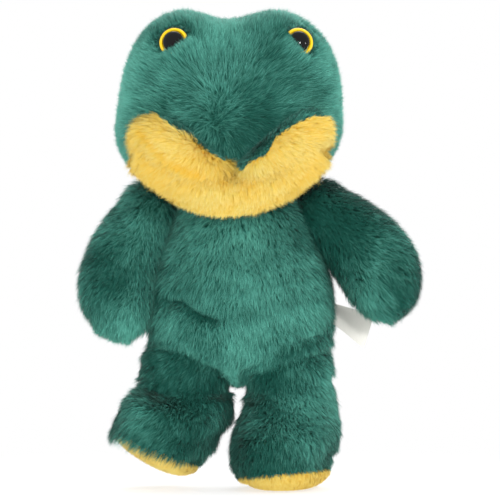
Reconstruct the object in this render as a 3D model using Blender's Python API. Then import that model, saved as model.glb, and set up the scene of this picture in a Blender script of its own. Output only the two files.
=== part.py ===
"""Plush frog, standing on its own soles and facing -Y, with +Z up and metres as the unit.

Each limb and the head are a fur-fabric skin round a separate piece of filling. A leg ends in a round root
that turns in a round socket of the torso, an arm lies against the torso over a round room that it turns
in, and the head turns on the torso's round top. The outer face of a skin is the mean surface of its pile.
"""

import math
from types import SimpleNamespace

import bmesh
import bpy
import numpy as np
from mathutils import Matrix, Vector

# Fabric, fits and cut depths
FABRIC = 0.007
SEAM_GAP = 0.0003
FILLING_GAP = 0.0008
JOINT_GAP = 0.0005
FLAT_CUT = 0.0005
OVERRUN = 0.03
SWEEP_STEPS = 4
SEGMENTS = 16
COARSE_SEGMENTS = 10
BALL_SEGMENTS = 14
CAP_STEPS = 3
NECK_SEGMENTS = 24
SHARP_ANGLE = math.radians(40)

# Legs, from the floor to the hip centre
LEG_LENGTH = 0.072
HIP_RADIUS = 0.0305
LEG_GAP = 0.0014
FOOT_HALF_WIDTH = 0.0306
FOOT_FRONT = 0.052
FOOT_BACK = 0.034
FOOT_PIVOT = 0.0364
LEG_FORWARD_LIMIT = math.radians(60)
LEG_BACK_LIMIT = math.radians(10)
SWING_ROOM = 0.0170
# height share of the leg, width share, front share, back share, roundness share
LEG_SHARES = (
    (0.90, 0.865, 0.580, 0.885, 1.0),
    (0.78, 0.845, 0.585, 0.860, 1.0),
    (0.67, 0.860, 0.640, 0.855, 0.96),
    (0.57, 0.925, 0.820, 0.900, 0.91),
    (0.46, 0.980, 0.960, 0.970, 0.87),
    (0.335, 1.0, 1.0, 1.0, 0.87),
)
ROUND_POWER = 2.0
FOOT_UNDER_POWER = 3.0
FOOT_UNDER_SHARES = (0.0, 0.09, 0.28, 0.62)
# toe_out turns the foot, roll lifts its outer side, splay and raised move it outwards and up, and the
# sole's edge has a height and two slopes
LEG_POSES = {
    "left": SimpleNamespace(
        side=1,
        toe_out=math.radians(-6),
        roll=0.0,
        splay=-0.0025,
        raised=0.0,
        sole=0.0085,
        sole_side=0.09,
        sole_front=0.05,
    ),
    "right": SimpleNamespace(
        side=-1,
        toe_out=math.radians(12),
        roll=math.radians(31),
        splay=0.0061,
        raised=0.0117,
        sole=0.0085,
        sole_side=0.16,
        sole_front=0.04,
    ),
}

# Torso, from the crotch to the base of the neck dome
TORSO_LENGTH = 0.110
CROTCH_DROP = 0.0055
TORSO_SHIFT = 0.0015
TORSO_HALF_WIDTH = 0.0585
TORSO_FRONT = 0.047
TORSO_BACK = 0.044
NECK_RADIUS = 0.036
NECK_DOME = 0.0155
# height share, width share, front share, back share
TORSO_SHARES = (
    (0.025, 0.20, 0.26, 0.26),
    (0.10, 0.60, 0.64, 0.64),
    (0.19, 0.93, 0.88, 0.88),
    (0.28, 1.0, 0.97, 0.97),
    (0.40, 1.0, 1.0, 1.0),
    (0.55, 0.965, 1.0, 1.0),
    (0.70, 0.865, 0.94, 0.96),
    (0.83, 0.765, 0.87, 0.91),
    (0.93, 0.685, 0.80, 0.86),
)
TORSO_SECTION_POWER = 2.25

# Arms, from the shoulder centre to the tip of the paw
SHOULDER_DROP = 0.010
SHOULDER_SIDES = {"left": 0.0505, "right": 0.054}
SHOULDER_BACK = 0.001
SHOULDER_RADIUS = 0.0215
ARM_LENGTH = 0.085
ARM_HALF_WIDTH = 0.0265
ARM_HALF_DEPTH = 0.0235
ARM_BEND = 0.0055
ARM_FORWARD = math.radians(11)
ARM_OPENING_RADIUS = 0.005
# distance share, width share, depth share, outward bend share
ARM_SHARES = (
    (0.0, 0.830, 0.936, 0.0),
    (0.16, 0.880, 0.941, 0.63),
    (0.35, 0.950, 0.968, 1.0),
    (0.53, 1.0, 0.990, 0.90),
    (0.69, 0.985, 0.985, 0.55),
    (0.84, 0.825, 0.845, 0.14),
    (0.95, 0.500, 0.530, -0.18),
)
ARM_TIP_BEND_SHARE = -0.35
ARM_REST = {"left": math.radians(41.5), "right": math.radians(18)}

# Head, measured from its own middle
HEAD_TURN_LIMIT = math.radians(20)
HEAD_LIFT = 0.044
HEAD_SHIFT = -0.0055
HEAD_FORWARD = 0.003
HEAD_LEAN = 0.055
HEAD_TAPER = 0.06
HEAD_HALF_WIDTH = 0.070
HEAD_TOP = 0.076
HEAD_BOTTOM = 0.043
HEAD_FRONT = 0.058
HEAD_BACK = 0.052
CROWN_DIP = 0.0106
CROWN_DIP_WIDTH = 0.024
CROWN_DIP_SIDE = -0.005
CROWN_FALL = 0.0058
HEAD_TOP_POWER = 3.2
HEAD_BOTTOM_POWER = 2.3
HEAD_DEPTH_POWER = 2.6
HEAD_UPPER_POWER = 2.7
HEAD_LOWER_POWER = 2.2
HEAD_STATIONS = 14
COARSE_STATIONS = 9
FACE_EDGE_SHARE = 0.985
FACE_STEP_SHARE = 0.01

# Lips: two padded rolls across the lower face
MOUTH_HALF_WIDTH = 0.058
MOUTH_RISE = 0.034
LIP_STATIONS = 13
LIP_SEGMENTS = 8
# path shares: place across, rise from the lowest point of the lip, and width there
LIPS = {
    "upper_lip": SimpleNamespace(
        low=-0.0310,
        half_height=0.0105,
        half_thickness=0.0100,
        back_share=0.45,
        lift=0.0020,
        forward=0.0,
        path_shares=(
            (-1.0, 0.78, 0.92),
            (-0.72, 0.72, 1.12),
            (-0.30, 0.28, 0.95),
            (0.12, 0.0, 0.80),
            (0.52, 0.46, 0.95),
            (0.84, 0.84, 1.05),
            (1.02, 1.0, 0.85),
        ),
    ),
    "lower_lip": SimpleNamespace(
        low=-0.0435,
        half_height=0.0112,
        half_thickness=0.0120,
        back_share=1.0,
        lift=0.0035,
        forward=0.0045,
        path_shares=(
            (-0.98, 0.70, 0.88),
            (-0.72, 0.44, 0.98),
            (-0.30, 0.08, 1.0),
            (0.12, 0.0, 0.95),
            (0.54, 0.20, 1.08),
            (0.84, 0.52, 1.05),
            (1.0, 0.74, 0.85),
        ),
    ),
}
LIP_END_POWER = 4.0
LIP_SECTION_POWER = 2.2
LIP_SEAT_SHARE = 0.80

# Eyes: a ring on a shank, a black dome in the ring and a lock washer behind the fabric
EYE_SIDE = 0.0405
EYE_SHIFT = 0.0017
EYE_RISE = 0.052
EYE_RADIUS = 0.009
EYE_DEPTH = 0.0032
EYE_FLANGE = 0.0024
EYE_RIM = 0.0022
EYE_SHANK_RADIUS = 0.0019
EYE_SHANK_LENGTH = 0.012
PUPIL_SEAT = 0.0010
PUPIL_DOME = 0.0034
WEB = 0.0012
WASHER_RADIUS = 0.0068
WASHER_THICKNESS = 0.0013
WASHER_TOOTH = 0.0008
WASHER_TEETH = 6
EYE_AXIS_SHARES = (0.22, -0.93, 0.28)
EYE_SEGMENTS = 20
EYE_ROOM_SEGMENTS = 12
EYE_ROUND_STEPS = 4

# Care label in the side seam
LABEL_WIDTH = 0.021
LABEL_LENGTH = 0.029
LABEL_TUCK = 0.006
LABEL_THICKNESS = 0.0007
LABEL_HEIGHT = 0.041
LABEL_BACK = 0.003
LABEL_SAG = 0.0165
LABEL_CURL = 0.003
LABEL_TURN = math.radians(28.6)
LABEL_SAG_POWER = 1.3
LABEL_LEAN_SHARES = (0.6, 0.8)
LABEL_STEPS = 10

# The middle of the whole frog's outline stands over the frame's origin
FRAME_SIDE = 0.0072
FRAME_FRONT = 0.00956

# Places that follow from the sizes above
HIP_SIDE = HIP_RADIUS + LEG_GAP / 2
CROTCH = LEG_LENGTH - CROTCH_DROP
NECK_BASE = LEG_LENGTH + TORSO_LENGTH
SHOULDER_HEIGHT = NECK_BASE - SHOULDER_DROP

GREEN = (0.045, 0.215, 0.145)
YELLOW = (0.91, 0.62, 0.11)
FILLING = (0.86, 0.86, 0.84)
SATIN = (0.80, 0.79, 0.74)
AMBER = (0.80, 0.50, 0.01)
BLACK = (0.012, 0.010, 0.010)
WHITE = (0.82, 0.82, 0.80)


def clear_scene():
    """Remove every object that the scene holds."""
    for old in list(bpy.data.objects):
        bpy.data.objects.remove(old, do_unlink=True)


def material(name, colour, roughness, metallic=0.0):
    """A Principled material of one colour."""
    made = bpy.data.materials.new(name)
    made.use_nodes = True
    shader = made.node_tree.nodes["Principled BSDF"]
    shader.inputs["Base Color"].default_value = (*colour, 1.0)
    shader.inputs["Roughness"].default_value = roughness
    shader.inputs["Metallic"].default_value = metallic
    return made


def empty(name, place, parent=None):
    """An empty that carries the pieces of one moving body."""
    made = bpy.data.objects.new(name, None)
    made.location = place
    made.parent = parent
    bpy.context.scene.collection.objects.link(made)
    return made


def add_object(name, bm, finish, parent=None):
    """Turn a bmesh into a smooth-shaded object with its faces pointing out."""
    bmesh.ops.recalc_face_normals(bm, faces=bm.faces)
    mesh = bpy.data.meshes.new(name)
    bm.to_mesh(mesh)
    bm.free()
    mesh.shade_smooth()
    mesh.set_sharp_from_angle(angle=SHARP_ANGLE)
    if finish is not None:
        mesh.materials.append(finish)
    made = bpy.data.objects.new(name, mesh)
    made.parent = parent
    bpy.context.scene.collection.objects.link(made)
    return made


def as_cutter(made):
    """Mark an object as a cutter, which is no piece of the frog."""
    made.display_type = "WIRE"
    made.hide_render = True
    return made


def boolean(target, cutter, operation="DIFFERENCE"):
    """Cut one object with another, which stays in place as a cutter."""
    step = target.modifiers.new("cut", "BOOLEAN")
    step.operation = operation
    step.solver = "EXACT"
    step.object = cutter


def smooth_rows(rows, steps):
    """Rows read from a smooth curve through the given rows, with so many steps between two of them."""
    points = np.array(rows, dtype=float)
    padded = np.vstack([2 * points[0] - points[1], points, 2 * points[-1] - points[-2]])
    out = []
    for i in range(len(points) - 1):
        a, b, c, d = padded[i : i + 4]
        square = (2 * a - 5 * b + 4 * c - d) / 2
        cube = (3 * b - a - 3 * c + d) / 2
        for k in range(steps):
            t = k / steps
            out.append(b + (c - a) / 2 * t + square * t**2 + cube * t**3)
    out.append(points[-1])
    return out


def section(centre, first, second, sizes, power, count):
    """A closed oval section with its own size on each of four sides.

    first and second are the section's axes, and sizes its reach along +first, -first, +second, -second.
    """
    angles = np.arange(count) * math.tau / count
    along = np.sign(np.cos(angles)) * np.abs(np.cos(angles)) ** (2 / power)
    up = np.sign(np.sin(angles)) * np.abs(np.sin(angles)) ** (2 / power)
    reach_first = np.where(along > 0, sizes[0], sizes[1])
    reach_second = np.where(up > 0, sizes[2], sizes[3])
    return np.array(centre) + np.outer(along * reach_first, first) + np.outer(up * reach_second, second)


def level(place, sizes, power, count):
    """A level section: its sizes are the reaches to +X, -X, +Y and -Y."""
    return section(place, (1, 0, 0), (0, 1, 0), sizes, power, count)


def round_cap(radius, rise, base, count):
    """The level rings of a round cap, from its foot at the base height up to just below its top."""
    rings = []
    for k in range(1, CAP_STEPS):
        angle = math.pi / 2 * k / CAP_STEPS
        place = (0, 0, base + rise * math.sin(angle))
        rings.append(level(place, (radius * math.cos(angle),) * 4, ROUND_POWER, count))
    return rings


def loft(rings, start=None, end=None):
    """A closed bmesh over a row of rings, with a point or a flat face at each end."""
    bm = bmesh.new()
    rows = [[bm.verts.new(point) for point in ring] for ring in rings]
    for low, high in zip(rows, rows[1:]):
        for i in range(len(low)):
            j = (i + 1) % len(low)
            bm.faces.new((low[i], low[j], high[j]))
            bm.faces.new((low[i], high[j], high[i]))
    for ring, pole in ((rows[0], start), (rows[-1], end)):
        if pole is None:
            bm.faces.new(ring)
            continue
        tip = bm.verts.new(pole)
        for i in range(len(ring)):
            bm.faces.new((ring[i], ring[(i + 1) % len(ring)], tip))
    return bm


def form(rings, start, end, centre, halves):
    """One soft form: its rings and ends, with the centre and half sizes that it shrinks towards."""
    middle = np.array(centre)
    return SimpleNamespace(rings=rings, start=start, end=end, centre=middle, halves=np.array(halves))


def resized(shape, growth):
    """The bmesh of a form that is grown, or with a negative growth shrunk, by one distance all round."""
    scale = 1 + growth / shape.halves

    def moved(points):
        return None if points is None else shape.centre + (np.array(points) - shape.centre) * scale

    return loft([moved(ring) for ring in shape.rings], moved(shape.start), moved(shape.end))


def lathe(profile, count):
    """A closed bmesh turned about Z from a profile of (radius, height), whose ends lie on the axis."""
    angles = np.arange(count) * math.tau / count
    ring = np.stack([np.cos(angles), np.sin(angles)], axis=1)
    rings = [np.column_stack([ring * radius, np.full(count, height)]) for radius, height in profile[1:-1]]
    return loft(rings, (0, 0, profile[0][1]), (0, 0, profile[-1][1]))


def ball(radius, place):
    """A round cutter about a joint centre, whose flats too stay outside the radius."""
    bm = bmesh.new()
    around = radius / math.cos(math.pi / BALL_SEGMENTS) ** 2
    bmesh.ops.create_uvsphere(bm, u_segments=BALL_SEGMENTS, v_segments=BALL_SEGMENTS // 2, radius=around)
    bmesh.ops.translate(bm, verts=bm.verts, vec=place)
    return bm


# Torso


def torso_sizes(steps):
    """Height, half width, front and back of the torso's sections, from the crotch to the neck."""
    rows = [
        (
            CROTCH + height * (NECK_BASE - CROTCH),
            width * TORSO_HALF_WIDTH,
            front * TORSO_FRONT,
            back * TORSO_BACK,
            TORSO_SECTION_POWER,
            TORSO_SHIFT,
        )
        for height, width, front, back in TORSO_SHARES
    ]
    rows.append((NECK_BASE, NECK_RADIUS, NECK_RADIUS, NECK_RADIUS, ROUND_POWER, 0.0))
    return smooth_rows(rows, steps)


def torso_form(segments):
    """The torso's outer form, with a round dome that the head turns on."""
    rings = [
        level((shift, 0, height), (width, width, back, front), power, segments)
        for height, width, front, back, power, shift in torso_sizes(1)
    ]
    rings += round_cap(NECK_RADIUS, NECK_DOME, NECK_BASE, segments)
    middle = (CROTCH + NECK_BASE + NECK_DOME) / 2
    halves = (TORSO_HALF_WIDTH, (TORSO_FRONT + TORSO_BACK) / 2, (NECK_BASE + NECK_DOME - CROTCH) / 2)
    return form(rings, (TORSO_SHIFT, 0, CROTCH), (0, 0, NECK_BASE + NECK_DOME), (0, 0, middle), halves)


def hull_of_balls(balls):
    """A cutter stretched over balls, each a (radius, place)."""
    bm = bmesh.new()
    for radius, place in balls:
        part = ball(radius, place)
        points = [vert.co.copy() for vert in part.verts]
        part.free()
        for point in points:
            bm.verts.new(point)
    hull = bmesh.ops.convex_hull(bm, input=bm.verts)
    inside = hull["geom_interior"] + hull["geom_unused"]
    loose = {item for item in inside if isinstance(item, bmesh.types.BMVert)}
    bmesh.ops.delete(bm, geom=list(loose), context="VERTS")
    return bm


def leg_sweep(side):
    """The room that a leg takes as it swings, which widens forwards for the foot."""
    reach = HIP_RADIUS + OVERRUN
    radius = HIP_RADIUS + JOINT_GAP
    hip = Vector((side * HIP_SIDE, 0, LEG_LENGTH))
    balls = [(radius, hip)]
    for k in range(SWEEP_STEPS + 1):
        angle = -LEG_BACK_LIMIT + (LEG_FORWARD_LIMIT + LEG_BACK_LIMIT) * k / SWEEP_STEPS
        forward = max(angle, 0) / LEG_FORWARD_LIMIT
        end = Vector((0, -math.sin(angle) * reach, -math.cos(angle) * reach))
        balls.append((radius + SWING_ROOM * forward, hip + end))
    return hull_of_balls(balls)


def shoulder_place(name):
    """The centre that an arm turns about."""
    side = 1 if name == "left" else -1
    return Vector((side * SHOULDER_SIDES[name], SHOULDER_BACK, SHOULDER_HEIGHT))


def shoulder_sweep(name):
    """The room that the head leaves for a shoulder, wide enough for the head to turn over it."""
    balls = []
    for k in range(SWEEP_STEPS + 1):
        angle = HEAD_TURN_LIMIT * (2 * k / SWEEP_STEPS - 1)
        balls.append((SHOULDER_RADIUS + JOINT_GAP, Matrix.Rotation(angle, 3, "Z") @ shoulder_place(name)))
    return hull_of_balls(balls)


def neck_cutter(root):
    """The round room that the head leaves for the torso's top, wide enough to turn in."""
    rows = [row for row in torso_sizes(1) if row[0] > SHOULDER_HEIGHT - SHOULDER_RADIUS]
    profile = [(0, rows[0][0])]
    profile += [(max(row[1] + abs(row[5]), row[2], row[3]) + JOINT_GAP, row[0]) for row in rows]
    for k in range(1, CAP_STEPS):
        angle = math.pi / 2 * k / CAP_STEPS
        height = NECK_BASE + (NECK_DOME + JOINT_GAP) * math.sin(angle)
        profile.append(((NECK_RADIUS + JOINT_GAP) * math.cos(angle), height))
    profile.append((0, NECK_BASE + NECK_DOME + JOINT_GAP))
    return as_cutter(add_object("neck_room", lathe(profile, NECK_SEGMENTS), None, root))


def build_torso(fur, filling):
    """The torso's skin and filling, with round sockets for the arms and legs."""
    root = empty("torso_body", (-FRAME_SIDE, FRAME_FRONT, 0))
    fine = torso_form(SEGMENTS)
    coarse = torso_form(COARSE_SEGMENTS)
    skin = add_object("torso_skin", resized(fine, 0), fur, root)
    cavity = as_cutter(add_object("torso_cavity", resized(coarse, -FABRIC), None, root))
    stuffing = add_object("torso_stuffing", resized(coarse, -FABRIC - FILLING_GAP), filling, root)
    boolean(skin, cavity)
    for name, side in (("left", 1), ("right", -1)):
        socket_ball = ball(SHOULDER_RADIUS + JOINT_GAP, shoulder_place(name))
        socket = as_cutter(add_object("shoulder_socket_" + name, socket_ball, None, root))
        sweep = as_cutter(add_object("hip_socket_" + name, leg_sweep(side), None, root))
        for piece in (skin, stuffing):
            boolean(piece, socket)
            boolean(piece, sweep)
    outside = as_cutter(add_object("torso_outside", resized(fine, SEAM_GAP), None, root))
    return root, outside


def label_sheet():
    """The care label: a ribbon that leaves the side seam and sags, curls and turns a little."""
    rings = []
    lean_side, lean_back = LABEL_LEAN_SHARES
    for k in range(LABEL_STEPS + 1):
        share = k / LABEL_STEPS
        run = share * (LABEL_LENGTH + LABEL_TUCK)
        drop = LABEL_SAG * share**LABEL_SAG_POWER
        curl = LABEL_CURL * math.sin(math.pi * share)
        centre = Vector((math.sqrt(1 - (LABEL_SAG / LABEL_LENGTH) ** 2 * share) * run, curl, -drop))
        turn = LABEL_TURN * share
        across = Vector((math.sin(turn) * lean_side, math.sin(turn) * lean_back, math.cos(turn)))
        face = (Vector((0, 1, 0)) - across * across.y).normalized()
        half = across * (LABEL_WIDTH / 2)
        thick = face * (LABEL_THICKNESS / 2)
        corners = ((-1, -1), (1, -1), (1, 1), (-1, 1))
        rings.append([centre + half * a + thick * b for a, b in corners])
    return loft(rings)


def build_label(satin, root, torso_outside):
    """The label, cut where its tucked end meets the torso's side."""
    label = add_object("care_label", label_sheet(), satin, root)
    label.location = (TORSO_HALF_WIDTH - LABEL_TUCK, LABEL_BACK, LEG_LENGTH + LABEL_HEIGHT)
    boolean(label, torso_outside)


# Legs and soles


def shank_rows():
    """Height, half width, front, back and section power of a leg, from the hip centre downwards."""
    rows = [(0.0, HIP_RADIUS, HIP_RADIUS, HIP_RADIUS, ROUND_POWER)]
    for height, width, front, back, roundness in LEG_SHARES:
        sizes = (width * FOOT_HALF_WIDTH, front * FOOT_FRONT, back * FOOT_BACK)
        rows.append((height * LEG_LENGTH - LEG_LENGTH, *sizes, ROUND_POWER / roundness))
    return rows


def under_rows():
    """The same sizes for the rounded underside of the foot, down to its flat."""
    rows = []
    top = LEG_LENGTH * LEG_SHARES[-1][0]
    middle = (FOOT_BACK - FOOT_FRONT) / 2
    for share in reversed(FOOT_UNDER_SHARES):
        height = share * top
        rise = (height + FLAT_CUT) / (top + FLAT_CUT)
        reach = (1 - (1 - rise) ** FOOT_UNDER_POWER) ** (1 / FOOT_UNDER_POWER)
        half = (FOOT_BACK + FOOT_FRONT) / 2 * reach
        sizes = (reach * FOOT_HALF_WIDTH, half - middle, half + middle)
        rows.append((height - LEG_LENGTH, *sizes, ROUND_POWER / LEG_SHARES[-1][4]))
    return rows


def leg_form(pose, segments):
    """A leg about its hip centre: a round root, a short shank and a rounded foot."""
    rings = round_cap(HIP_RADIUS, HIP_RADIUS, 0, segments)[::-1]
    for height, width, front, back, power in shank_rows() + under_rows():
        share = min(1.0, -height / LEG_LENGTH / LEG_SHARES[3][0])
        blend = share * share * (3 - 2 * share)
        turn = Matrix.Rotation(pose.side * pose.toe_out * blend, 3, "Z")
        ring = level((0, 0, height), (width, width, back, front), power, segments) @ np.array(turn).T
        ring[:, 0] += pose.side * pose.splay * blend
        rings.append(ring)
    middle = Vector((0, (FOOT_BACK - FOOT_FRONT) / 2, LEG_SHARES[-2][0] * LEG_LENGTH - LEG_LENGTH))
    foot = Matrix.Rotation(pose.side * pose.toe_out, 3, "Z") @ middle
    centre = (foot.x + pose.side * pose.splay, foot.y, foot.z)
    halves = (FOOT_HALF_WIDTH, (FOOT_FRONT + FOOT_BACK) / 2, (LEG_LENGTH + HIP_RADIUS) / 2)
    return form(rings, (0, 0, HIP_RADIUS), None, centre, halves)


def rolled(bm, pose, whole=False):
    """Roll the foot about its pivot and raise it, less and less towards the hip or as a whole."""
    for vert in bm.verts:
        share = 1.0 if whole else min(1.0, max(0.0, -vert.co.z / LEG_LENGTH / LEG_SHARES[3][0]))
        blend = share * share * (3 - 2 * share)
        turn = Matrix.Rotation(-pose.side * pose.roll * blend, 3, "Y")
        pivot = Vector((pose.side * pose.splay * blend, 0, FOOT_PIVOT - LEG_LENGTH))
        vert.co = turn @ (vert.co - pivot) + pivot + Vector((0, 0, pose.raised * blend))
    return bm


def sole_slab(pose, lift):
    """A wide block whose tilted top is where the sole ends and the leg's skin begins."""
    bm = bmesh.new()
    bmesh.ops.create_cube(bm, size=1)
    reach = 2 * (FOOT_FRONT + FOOT_BACK)
    for vert in bm.verts:
        x, y = vert.co.x * reach, vert.co.y * reach
        top = pose.sole + lift + pose.sole_side * x - pose.sole_front * y
        vert.co = (x, y, (top if vert.co.z > 0 else -OVERRUN) - LEG_LENGTH)
    return bm


def build_leg(name, fur, sole_fur, filling, root):
    """One leg: skin, filling and sole, about its hip centre."""
    pose = LEG_POSES[name]
    hip = empty("leg_" + name + "_body", (pose.side * HIP_SIDE, 0, LEG_LENGTH), root)
    fine = leg_form(pose, SEGMENTS)
    coarse = leg_form(pose, COARSE_SEGMENTS)
    skin = add_object("leg_" + name + "_skin", rolled(resized(fine, 0), pose), fur, hip)
    sole = add_object("sole_" + name, rolled(resized(fine, 0), pose), sole_fur, hip)
    inside = rolled(resized(coarse, -FABRIC), pose)
    cavity = as_cutter(add_object("leg_" + name + "_cavity", inside, None, hip))
    under = rolled(sole_slab(pose, 0), pose, whole=True)
    below = as_cutter(add_object("sole_" + name + "_below", under, None, hip))
    over = rolled(sole_slab(pose, SEAM_GAP), pose, whole=True)
    above = as_cutter(add_object("sole_" + name + "_above", over, None, hip))
    core = rolled(resized(coarse, -FABRIC - FILLING_GAP), pose)
    add_object("leg_" + name + "_stuffing", core, filling, hip)
    boolean(sole, below, "INTERSECT")
    boolean(sole, cavity)
    boolean(skin, above)
    boolean(skin, cavity)


# Arms


def arm_form(side, segments):
    """An arm that hangs from its shoulder centre, swells towards the paw and bends a little."""
    rows = [
        (-run * ARM_LENGTH, width * ARM_HALF_WIDTH, depth * ARM_HALF_DEPTH, bend * ARM_BEND)
        for run, width, depth, bend in ARM_SHARES
    ]
    rows[0] = (0.0, SHOULDER_RADIUS, SHOULDER_RADIUS, 0.0)
    rings = round_cap(SHOULDER_RADIUS, SHOULDER_RADIUS, 0, segments)[::-1]
    for height, width, depth, bend in rows:
        rings.append(level((side * bend, 0, height), (width, width, depth, depth), ROUND_POWER, segments))
    tip = (side * ARM_TIP_BEND_SHARE * ARM_BEND, 0, -ARM_LENGTH)
    middle = (side * ARM_BEND / 2, 0, (SHOULDER_RADIUS - ARM_LENGTH) / 2)
    halves = (ARM_HALF_WIDTH, ARM_HALF_DEPTH, (ARM_LENGTH + SHOULDER_RADIUS) / 2)
    return form(rings, (0, 0, SHOULDER_RADIUS), tip, middle, halves)


def build_arm(name, side, fur, filling, root, torso_outside):
    """One arm: skin and filling about its shoulder centre, cut where it lies against the torso."""
    shoulder = empty("arm_" + name + "_body", shoulder_place(name), root)
    shoulder.rotation_euler = (-ARM_FORWARD, -side * ARM_REST[name], 0)
    fine = arm_form(side, SEGMENTS)
    coarse = arm_form(side, COARSE_SEGMENTS)
    skin = add_object("arm_" + name + "_skin", resized(fine, 0), fur, shoulder)
    cavity = as_cutter(add_object("arm_" + name + "_cavity", resized(coarse, -FABRIC), None, shoulder))
    inner = resized(coarse, -FABRIC - FILLING_GAP)
    stuffing = add_object("arm_" + name + "_stuffing", inner, filling, shoulder)
    width = ARM_OPENING_RADIUS
    depth = SHOULDER_RADIUS + OVERRUN
    plug = lathe(((0, 0), (width, 0), (width, depth), (0, depth)), COARSE_SEGMENTS)
    opening = as_cutter(add_object("arm_" + name + "_opening", plug, None, shoulder))
    opening.rotation_euler = (0, -side * (math.pi / 4 - ARM_REST[name]), 0)
    boolean(skin, torso_outside)
    boolean(skin, cavity)
    boolean(skin, opening)
    boolean(stuffing, torso_outside)


# Head and lips


def head_reach(x):
    """Top, bottom, front and back reach of the head's section at one distance from its middle."""
    share = min(abs(x) / HEAD_HALF_WIDTH, 1.0)
    dip = CROWN_DIP * math.exp(-(((x - CROWN_DIP_SIDE) / CROWN_DIP_WIDTH) ** 2))
    dip += CROWN_FALL * max(x, 0) / HEAD_HALF_WIDTH
    top = max(HEAD_TOP * (1 - share**HEAD_TOP_POWER) ** (1 / HEAD_TOP_POWER) - dip, 0)
    bottom = HEAD_BOTTOM * (1 - share**HEAD_BOTTOM_POWER) ** (1 / HEAD_BOTTOM_POWER)
    depth = (1 - share**HEAD_DEPTH_POWER) ** (1 / HEAD_DEPTH_POWER)
    return top, bottom, depth * HEAD_FRONT, depth * HEAD_BACK


def head_place(points):
    """Move points from the head's own middle to the neck's centre, with the head's slight lean."""
    moved = np.array(points, dtype=float)
    moved[..., 0] *= 1 - HEAD_TAPER * np.maximum(moved[..., 2], 0) / HEAD_TOP
    moved[..., 0] += HEAD_SHIFT + HEAD_LEAN * moved[..., 2]
    moved[..., 1] -= HEAD_FORWARD
    moved[..., 2] += HEAD_LIFT
    return moved


def head_form(segments, stations):
    """The head's outer form, lofted from side to side."""
    rings = []
    for k in range(1, stations):
        x = -HEAD_HALF_WIDTH * math.cos(math.pi * k / stations)
        top, bottom, front, back = head_reach(x)
        angles = np.arange(segments) * math.tau / segments
        power = np.where(np.sin(angles) > 0, HEAD_UPPER_POWER, HEAD_LOWER_POWER)
        y = np.sign(np.cos(angles)) * np.abs(np.cos(angles)) ** (2 / power)
        z = np.sign(np.sin(angles)) * np.abs(np.sin(angles)) ** (2 / power)
        y = y * np.where(y > 0, back, front)
        z = z * np.where(z > 0, top, bottom)
        rings.append(head_place(np.column_stack([np.full(segments, x), y, z])))
    ends = [head_place((side * HEAD_HALF_WIDTH, 0, 0)) for side in (-1, 1)]
    centre = head_place((0, (HEAD_BACK - HEAD_FRONT) / 2, (HEAD_TOP - HEAD_BOTTOM) / 2))
    halves = (HEAD_HALF_WIDTH, (HEAD_FRONT + HEAD_BACK) / 2, (HEAD_TOP + HEAD_BOTTOM) / 2)
    return form(rings, ends[0], ends[1], centre, halves)


def face_point(x, z):
    """The point of the head's front at one place of the front view, from the head's own middle."""
    top, bottom, front, _ = head_reach(x)
    reach, power = (top, HEAD_UPPER_POWER) if z > 0 else (bottom, HEAD_LOWER_POWER)
    share = min(abs(z) / reach, FACE_EDGE_SHARE) if reach > 0 else FACE_EDGE_SHARE
    return np.array((x, -front * (1 - share**power) ** (1 / power), math.copysign(share * reach, z)))


def face_normal(x, z):
    """The outward direction of the head's front at one place of the front view."""
    step = HEAD_HALF_WIDTH * FACE_STEP_SHARE
    across = face_point(x + step, z) - face_point(x - step, z)
    upward = face_point(x, z + step) - face_point(x, z - step)
    normal = np.cross(across, upward)
    return normal / np.linalg.norm(normal)


def lip_place(lip, x, z):
    """The middle of a lip and its outward direction at one place of the front view."""
    seat = max(z, -LIP_SEAT_SHARE * head_reach(x)[1])
    normal = face_normal(x, seat)
    middle = face_point(x, seat) + normal * lip.lift
    return np.array((middle[0], middle[1] - lip.forward, z)), normal


def lip_mesh(lip):
    """A padded roll that follows the face, flat-backed once the head cuts it."""
    rows = [(x * MOUTH_HALF_WIDTH, lip.low + z * MOUTH_RISE, width) for x, z, width in lip.path_shares]
    path = np.array(smooth_rows(rows, LIP_STATIONS))
    shares = (1 - np.cos(np.linspace(0, math.pi, LIP_STATIONS + 1))) / 2
    picks = np.rint(shares * (len(path) - 1)).astype(int)
    centres = [lip_place(lip, path[pick][0], path[pick][1])[0] for pick in picks]
    rings = []
    for k in range(1, LIP_STATIONS):
        x, z, width = path[picks[k]]
        _, normal = lip_place(lip, x, z)
        along = centres[k + 1] - centres[k - 1]
        along /= np.linalg.norm(along)
        across = np.cross(normal, along)
        across /= np.linalg.norm(across)
        outward = np.cross(along, across)
        end = (1 - abs(2 * k / LIP_STATIONS - 1) ** LIP_END_POWER) ** (1 / LIP_END_POWER) * width
        high = lip.half_height * end
        thick = lip.half_thickness * end
        sizes = (high, high, thick, thick * lip.back_share)
        rings.append(section(centres[k], across, outward, sizes, LIP_SECTION_POWER, LIP_SEGMENTS))
    return loft([head_place(ring) for ring in rings], head_place(centres[0]), head_place(centres[-1]))


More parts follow.
